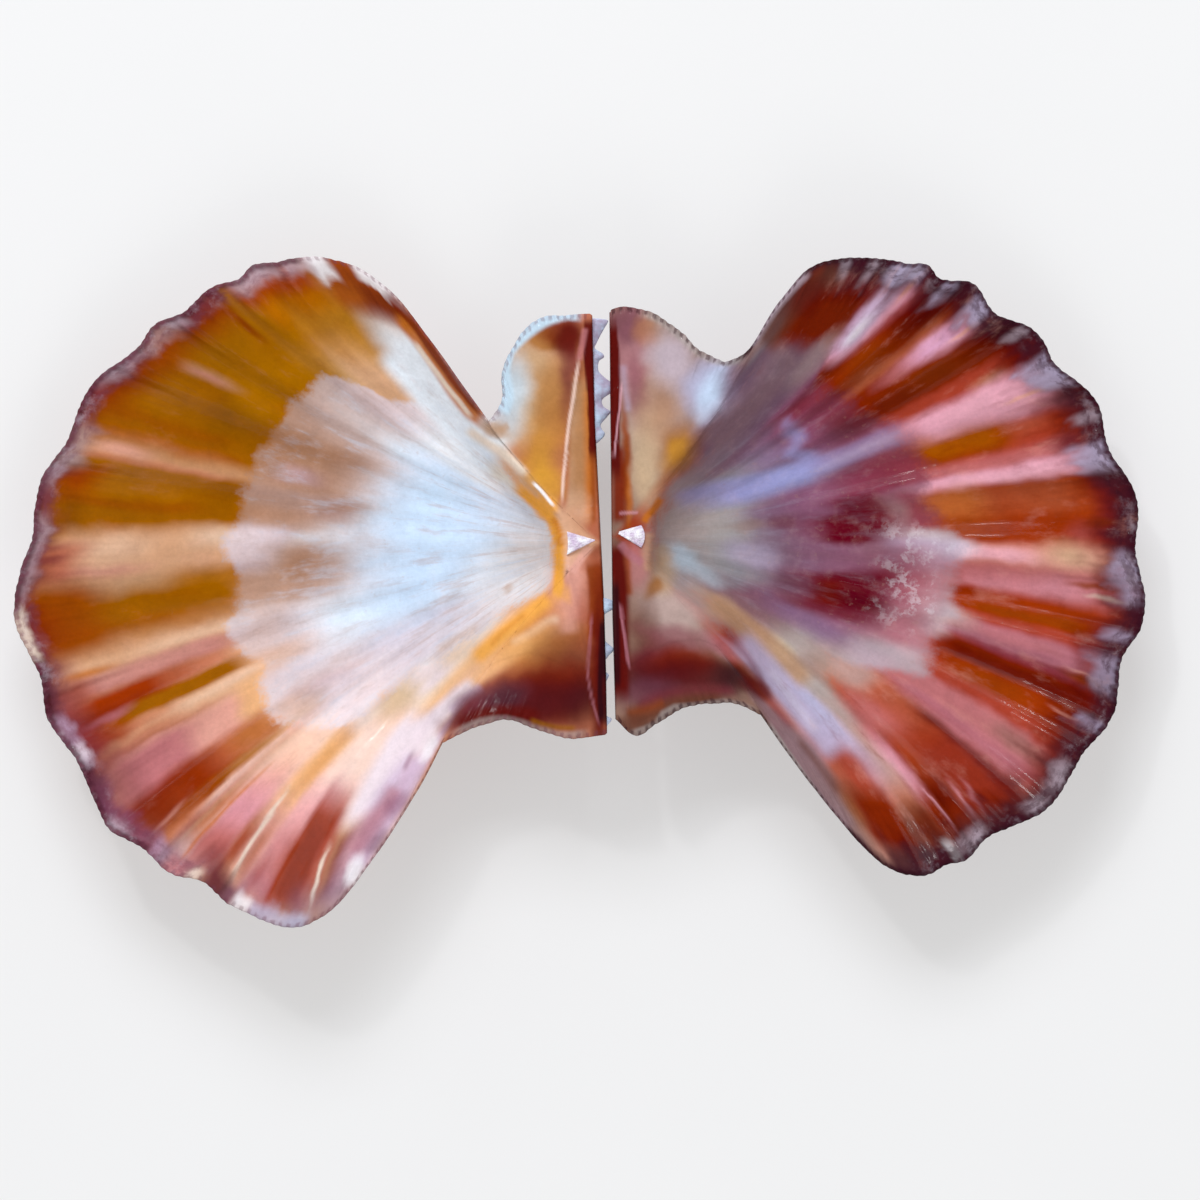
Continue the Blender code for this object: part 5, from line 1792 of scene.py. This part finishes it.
def hinge_crust(valve, reach):
    """A strip of worn scales that stands out under the hinge edge by the given reach.

    Across, it runs evenly from just inside the hinge line to its reach; in height it is
    crowned by w * (1 - w) and cupped where it reaches far.
    """
    line = curve_through(reach, CRUST_COLUMNS)
    b, far = line[:, :1], line[:, 1:]
    hinge_b, hinge_a = np.array(valve["hinge_line"]).T
    root = np.interp(b, hinge_b, hinge_a) + CRUST_OVERLAP
    w = np.linspace(0, 1, CRUST_ROWS)[None, :]
    a = root + (far - root) * w
    b = b + 0 * w
    out = np.maximum(root - CRUST_OVERLAP - far, 0)
    crown = 0.55 * w * (1 - w) - 0.25 * w ** 2 + 0.10 * clouds(a * 2.3, b * 2.3, 111)
    height = CRUST_LEVEL + crown - 0.18 * out * w ** 2
    x = valve["side"] * a
    thick = CRUST_THICK * (1 - 0.75 * w ** 2)
    return np.stack((x, b, height), axis=-1), np.stack((x, b, height - thick), axis=-1)


# Scales of the outside: points along and across each, how many to a rib, the growth they
# run from and to, the share that is worn away, and the smallest and largest size.
SCALE_ROWS = 4
SCALE_COLUMNS = 5
SCALES_TO_A_RIB = 24
SCALE_GROWTH = (0.34, 0.965)
SCALES_LOST = 0.22
SCALE_SIZES = (0.6, 1.25)
SCALE_SEED = 7


def rib_scales(valve):
    """Small open scales in rows along the ribs of the outside, as closed cups.

    A scale's point is base + across * u + along * w + out * w^1.5 * (1 - u^2).
    """
    rng = np.random.default_rng(SCALE_SEED)
    troughs = np.arange(1, len(valve["ribs"]), 2)
    column_at = np.interp(troughs, valve["fan"]["rib"][::-1], np.arange(COLUMNS + 1)[::-1])
    growth_at = np.linspace(*SCALE_GROWTH, SCALES_TO_A_RIB)
    column, growth = np.meshgrid(column_at, growth_at, indexing="ij")
    column = (column + rng.normal(0, 1.2, column.shape)).ravel()[:, None, None]
    growth = (growth + rng.normal(0, 0.006, growth.shape)).ravel()[:, None, None]
    keep = rng.random(len(column)) > SCALES_LOST
    column, growth = column[keep], growth[keep]
    size = rng.uniform(*SCALE_SIZES, column.shape) * (0.45 + 0.7 * growth)
    u = np.linspace(-1, 1, SCALE_COLUMNS)[None, None, :]
    w = np.linspace(0, 1, SCALE_ROWS)[None, :, None]
    at = spots(valve, column + u * 3.4 * size + 0 * w, growth + w * 0.013 * size - 0.006)
    height = outside_height(valve, at)
    cup = (0.25 + 0.75 * w ** 1.5) * (1 - 0.9 * u * u) * size
    place = np.concatenate((plan(valve, at), (height - 0.42 * cup + 0.05)[..., None]), axis=-1)
    inner = place.copy()
    inner[..., 2] = height + 0.12
    return joined(zip(inner, place))


def joined(pairs):
    """Several slabs, each given as its upper and lower grid, as one mesh's points and faces."""
    points, faces, count = [], [], 0
    for top, bottom in pairs:
        more, corners = slab(top, bottom)
        points.append(more)
        faces.append(corners + count)
        count += len(more)
    return np.vstack(points), [np.vstack(faces)]


# ---------------------------------------------------------------- the two valves

def placing(valve, points):
    """How a valve's own places become places in the frame.

    The valve leans as it comes to rest: heights gain the two slopes of the lean, and plan
    places stay. Its box is then moved over its CAD node's box, with the far rim on that
    box's side and the lowest point on its floor.
    """
    forward, sideways = (math.tan(math.radians(angle)) for angle in valve["lean"])

    def leant(more):
        rise = more[:, 1] * forward - more[:, 0] * sideways
        return np.column_stack((more[:, 0], more[:, 1], more[:, 2] + rise)) * MM

    box = leant(points)
    low, high = (np.array(corner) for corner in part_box(valve["name"]))
    shift = (low + high) / 2 - (box.min(axis=0) + box.max(axis=0)) / 2
    shift[0] = low[0] - box[:, 0].min() if valve["side"] < 0 else high[0] - box[:, 0].max()
    shift[2] = low[2] - box[:, 2].min()
    return lambda more: leant(more) + shift


def ride(piece, node, replaced=False):
    """A piece rides on the root, and may stand in for its CAD node."""
    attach(piece, "root")
    if replaced:
        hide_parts(node)


def build_valve(valve, inside, ground, stain, pale):
    """A valve with its ligament and scales. Returns the function that places its points."""
    name = valve["name"]
    valve["fan"] = fan_of(valve)
    points, faces, is_outside, s = valve_mesh(valve)
    scale_points, scale_faces = rib_scales(valve)
    place = placing(valve, np.vstack((points, scale_points)))
    outer, nacre = coats(valve, s)
    alpha = np.ones((len(points), 1))
    attributes = {
        "outer_coat": np.hstack((outer, alpha)),
        "nacre_coat": np.hstack((nacre, alpha)),
        "growth_mm": np.column_stack((pallial_distance(valve, s), s.inset, s.arc)),
        "rib_place": np.column_stack((s.rib, s.growth, s.depth)),
    }
    inside = inside_finish(name + "_inside", **inside)
    outside = outside_finish(name + "_outside", ground, stain, pale)
    finishes = (inside, outside)
    shell = mesh_from(name + "_shell", place(points), faces, finishes, is_outside, attributes)
    ride(shell, name, True)

    ligament = name.replace("valve", "ligament")
    pad_points, pad_faces = joined([ligament_pad(valve)])
    pad_finish = plain_finish(ligament + "_fibre", "orchid", "white", 900.0, 0.55, 0.00015)
    pad = mesh_from(ligament + "_pad", place(pad_points), pad_faces, (pad_finish,))
    ride(pad, ligament, True)

    scale_finish = plain_finish(name + "_scale", "sand", pale, 700.0, 0.45, 0.00008)
    scales = mesh_from(name + "_scales", place(scale_points), scale_faces, (scale_finish,))
    ride(scales, name)
    return place


RIGHT_INSIDE = {
    "edge": "plum", "lip_strength": 0.45, "stain_streaks": 0.16, "nacre_streaks": 0.26,
    "veins": 0.0, "soft_line": 0.7,
}
LEFT_INSIDE = {
    "edge": "ink", "lip_strength": 0.65, "stain_streaks": 0.34, "nacre_streaks": 0.04,
    "veins": 0.3, "soft_line": 1.5,
}
place_right = build_valve(RIGHT_VALVE, RIGHT_INSIDE, "brick", "ochre", "orchid")
build_valve(LEFT_VALVE, LEFT_INSIDE, "chestnut", "maroon", "orchid")

crusts = [hinge_crust(RIGHT_VALVE, reach) for reach in (FRONT_CRUST, BACK_CRUST)]
crust_points, crust_faces = joined(crusts)
crust_finish = plain_finish("hinge_crust_lime", "lilac", "ice", 500.0, 0.45, 0.00010)
crust = mesh_from("right_valve_hinge_crust", place_right(crust_points), crust_faces, (crust_finish,))
ride(crust, "right_valve")


# ---------------------------------------------------------------- floor, light and camera

# The camera: the middle and width of its view in mm, the height that width is for, and its
# lens and film in mm.
VIEW_CENTRE = (1.9, -0.7)
VIEW_WIDTH = 120.0
VIEW_LEVEL = 8.0
LENS = 300.0
SENSOR = 36.0

# The floor: half its side in metres, its two greys, and its own glow.
FLOOR_HALF = 1.5
FLOOR_GREYS = (0.43, 0.45)
FLOOR_GLOW = 0.40

# The sky's light, and how much dimmer it is straight overhead.
SKY = 0.70
OVERHEAD_DIM = 0.54


def make_floor():
    """A plain pale floor, far wider than the shell."""
    half = FLOOR_HALF
    corners = [(-half, -half, 0), (half, -half, 0), (half, half, 0), (-half, half, 0)]
    mesh = bpy.data.meshes.new("floor")
    mesh.from_pydata(corners, [], [(0, 1, 2, 3)])
    floor = bpy.data.objects.new("floor", mesh)
    bpy.context.scene.collection.objects.link(floor)
    material, f = new_finish("floor_paper")
    shade = f.noise(f.object_place(), 30.0, 2.0, 0.5)
    tint = f.mix(shade, *((grey, grey, grey, 1.0) for grey in FLOOR_GREYS))
    surface(f, tint, 0.9, shade, 0.00001, Emission_Color=(1.0, 1.0, 1.0, 1.0),
            Emission_Strength=FLOOR_GLOW)
    mesh.materials.append(material)


def make_world():
    """Even pale light from all round, with a dimmer patch straight overhead."""
    world = bpy.data.worlds.new("studio")
    world.use_nodes = True
    f = Finish(world.node_tree)
    _, _, up = f.split(f.node("TexCoord").out("Generated"))
    overhead = up.rise(0.80, 0.97)
    strength = SKY - overhead * OVERHEAD_DIM
    light = f.node("Background", None, {"Color": (1.0, 1.0, 1.0, 1.0), "Strength": strength}).out()
    f.node("OutputWorld", None, {"Surface": light})
    bpy.context.scene.world = world


def make_lamp(name, place, size, power, tint=(1.0, 1.0, 1.0)):
    """A soft rectangular lamp that points at the shell, in metres and watts."""
    data = bpy.data.lights.new(name, "AREA")
    data.shape = "RECTANGLE"
    data.size, data.size_y = size
    data.energy = power
    data.color = tint
    lamp = bpy.data.objects.new(name, data)
    lamp.location = place
    lamp.rotation_euler = (-lamp.location).to_track_quat("-Z", "Y").to_euler()
    bpy.context.scene.collection.objects.link(lamp)


def make_camera():
    """Straight over the shell, square to the floor."""
    data = bpy.data.cameras.new("camera")
    data.lens = LENS
    data.sensor_width = SENSOR
    data.clip_start = 0.01
    camera = bpy.data.objects.new("camera", data)
    height = VIEW_LEVEL + VIEW_WIDTH * LENS / SENSOR
    camera.location = (VIEW_CENTRE[0] * MM, VIEW_CENTRE[1] * MM, height * MM)
    bpy.context.scene.collection.objects.link(camera)
    bpy.context.scene.camera = camera


make_floor()
make_world()
make_lamp("key", (-0.12, 0.66, 0.66), (0.50, 0.36), 5.2, (0.97, 1.0, 1.06))
make_lamp("spark", (-0.30, 0.60, 0.72), (0.06, 0.06), 1.1)
make_lamp("fill", (0.10, -0.80, 0.60), (0.40, 0.40), 1.5)
make_camera()
bpy.context.scene.view_settings.view_transform = "Standard"
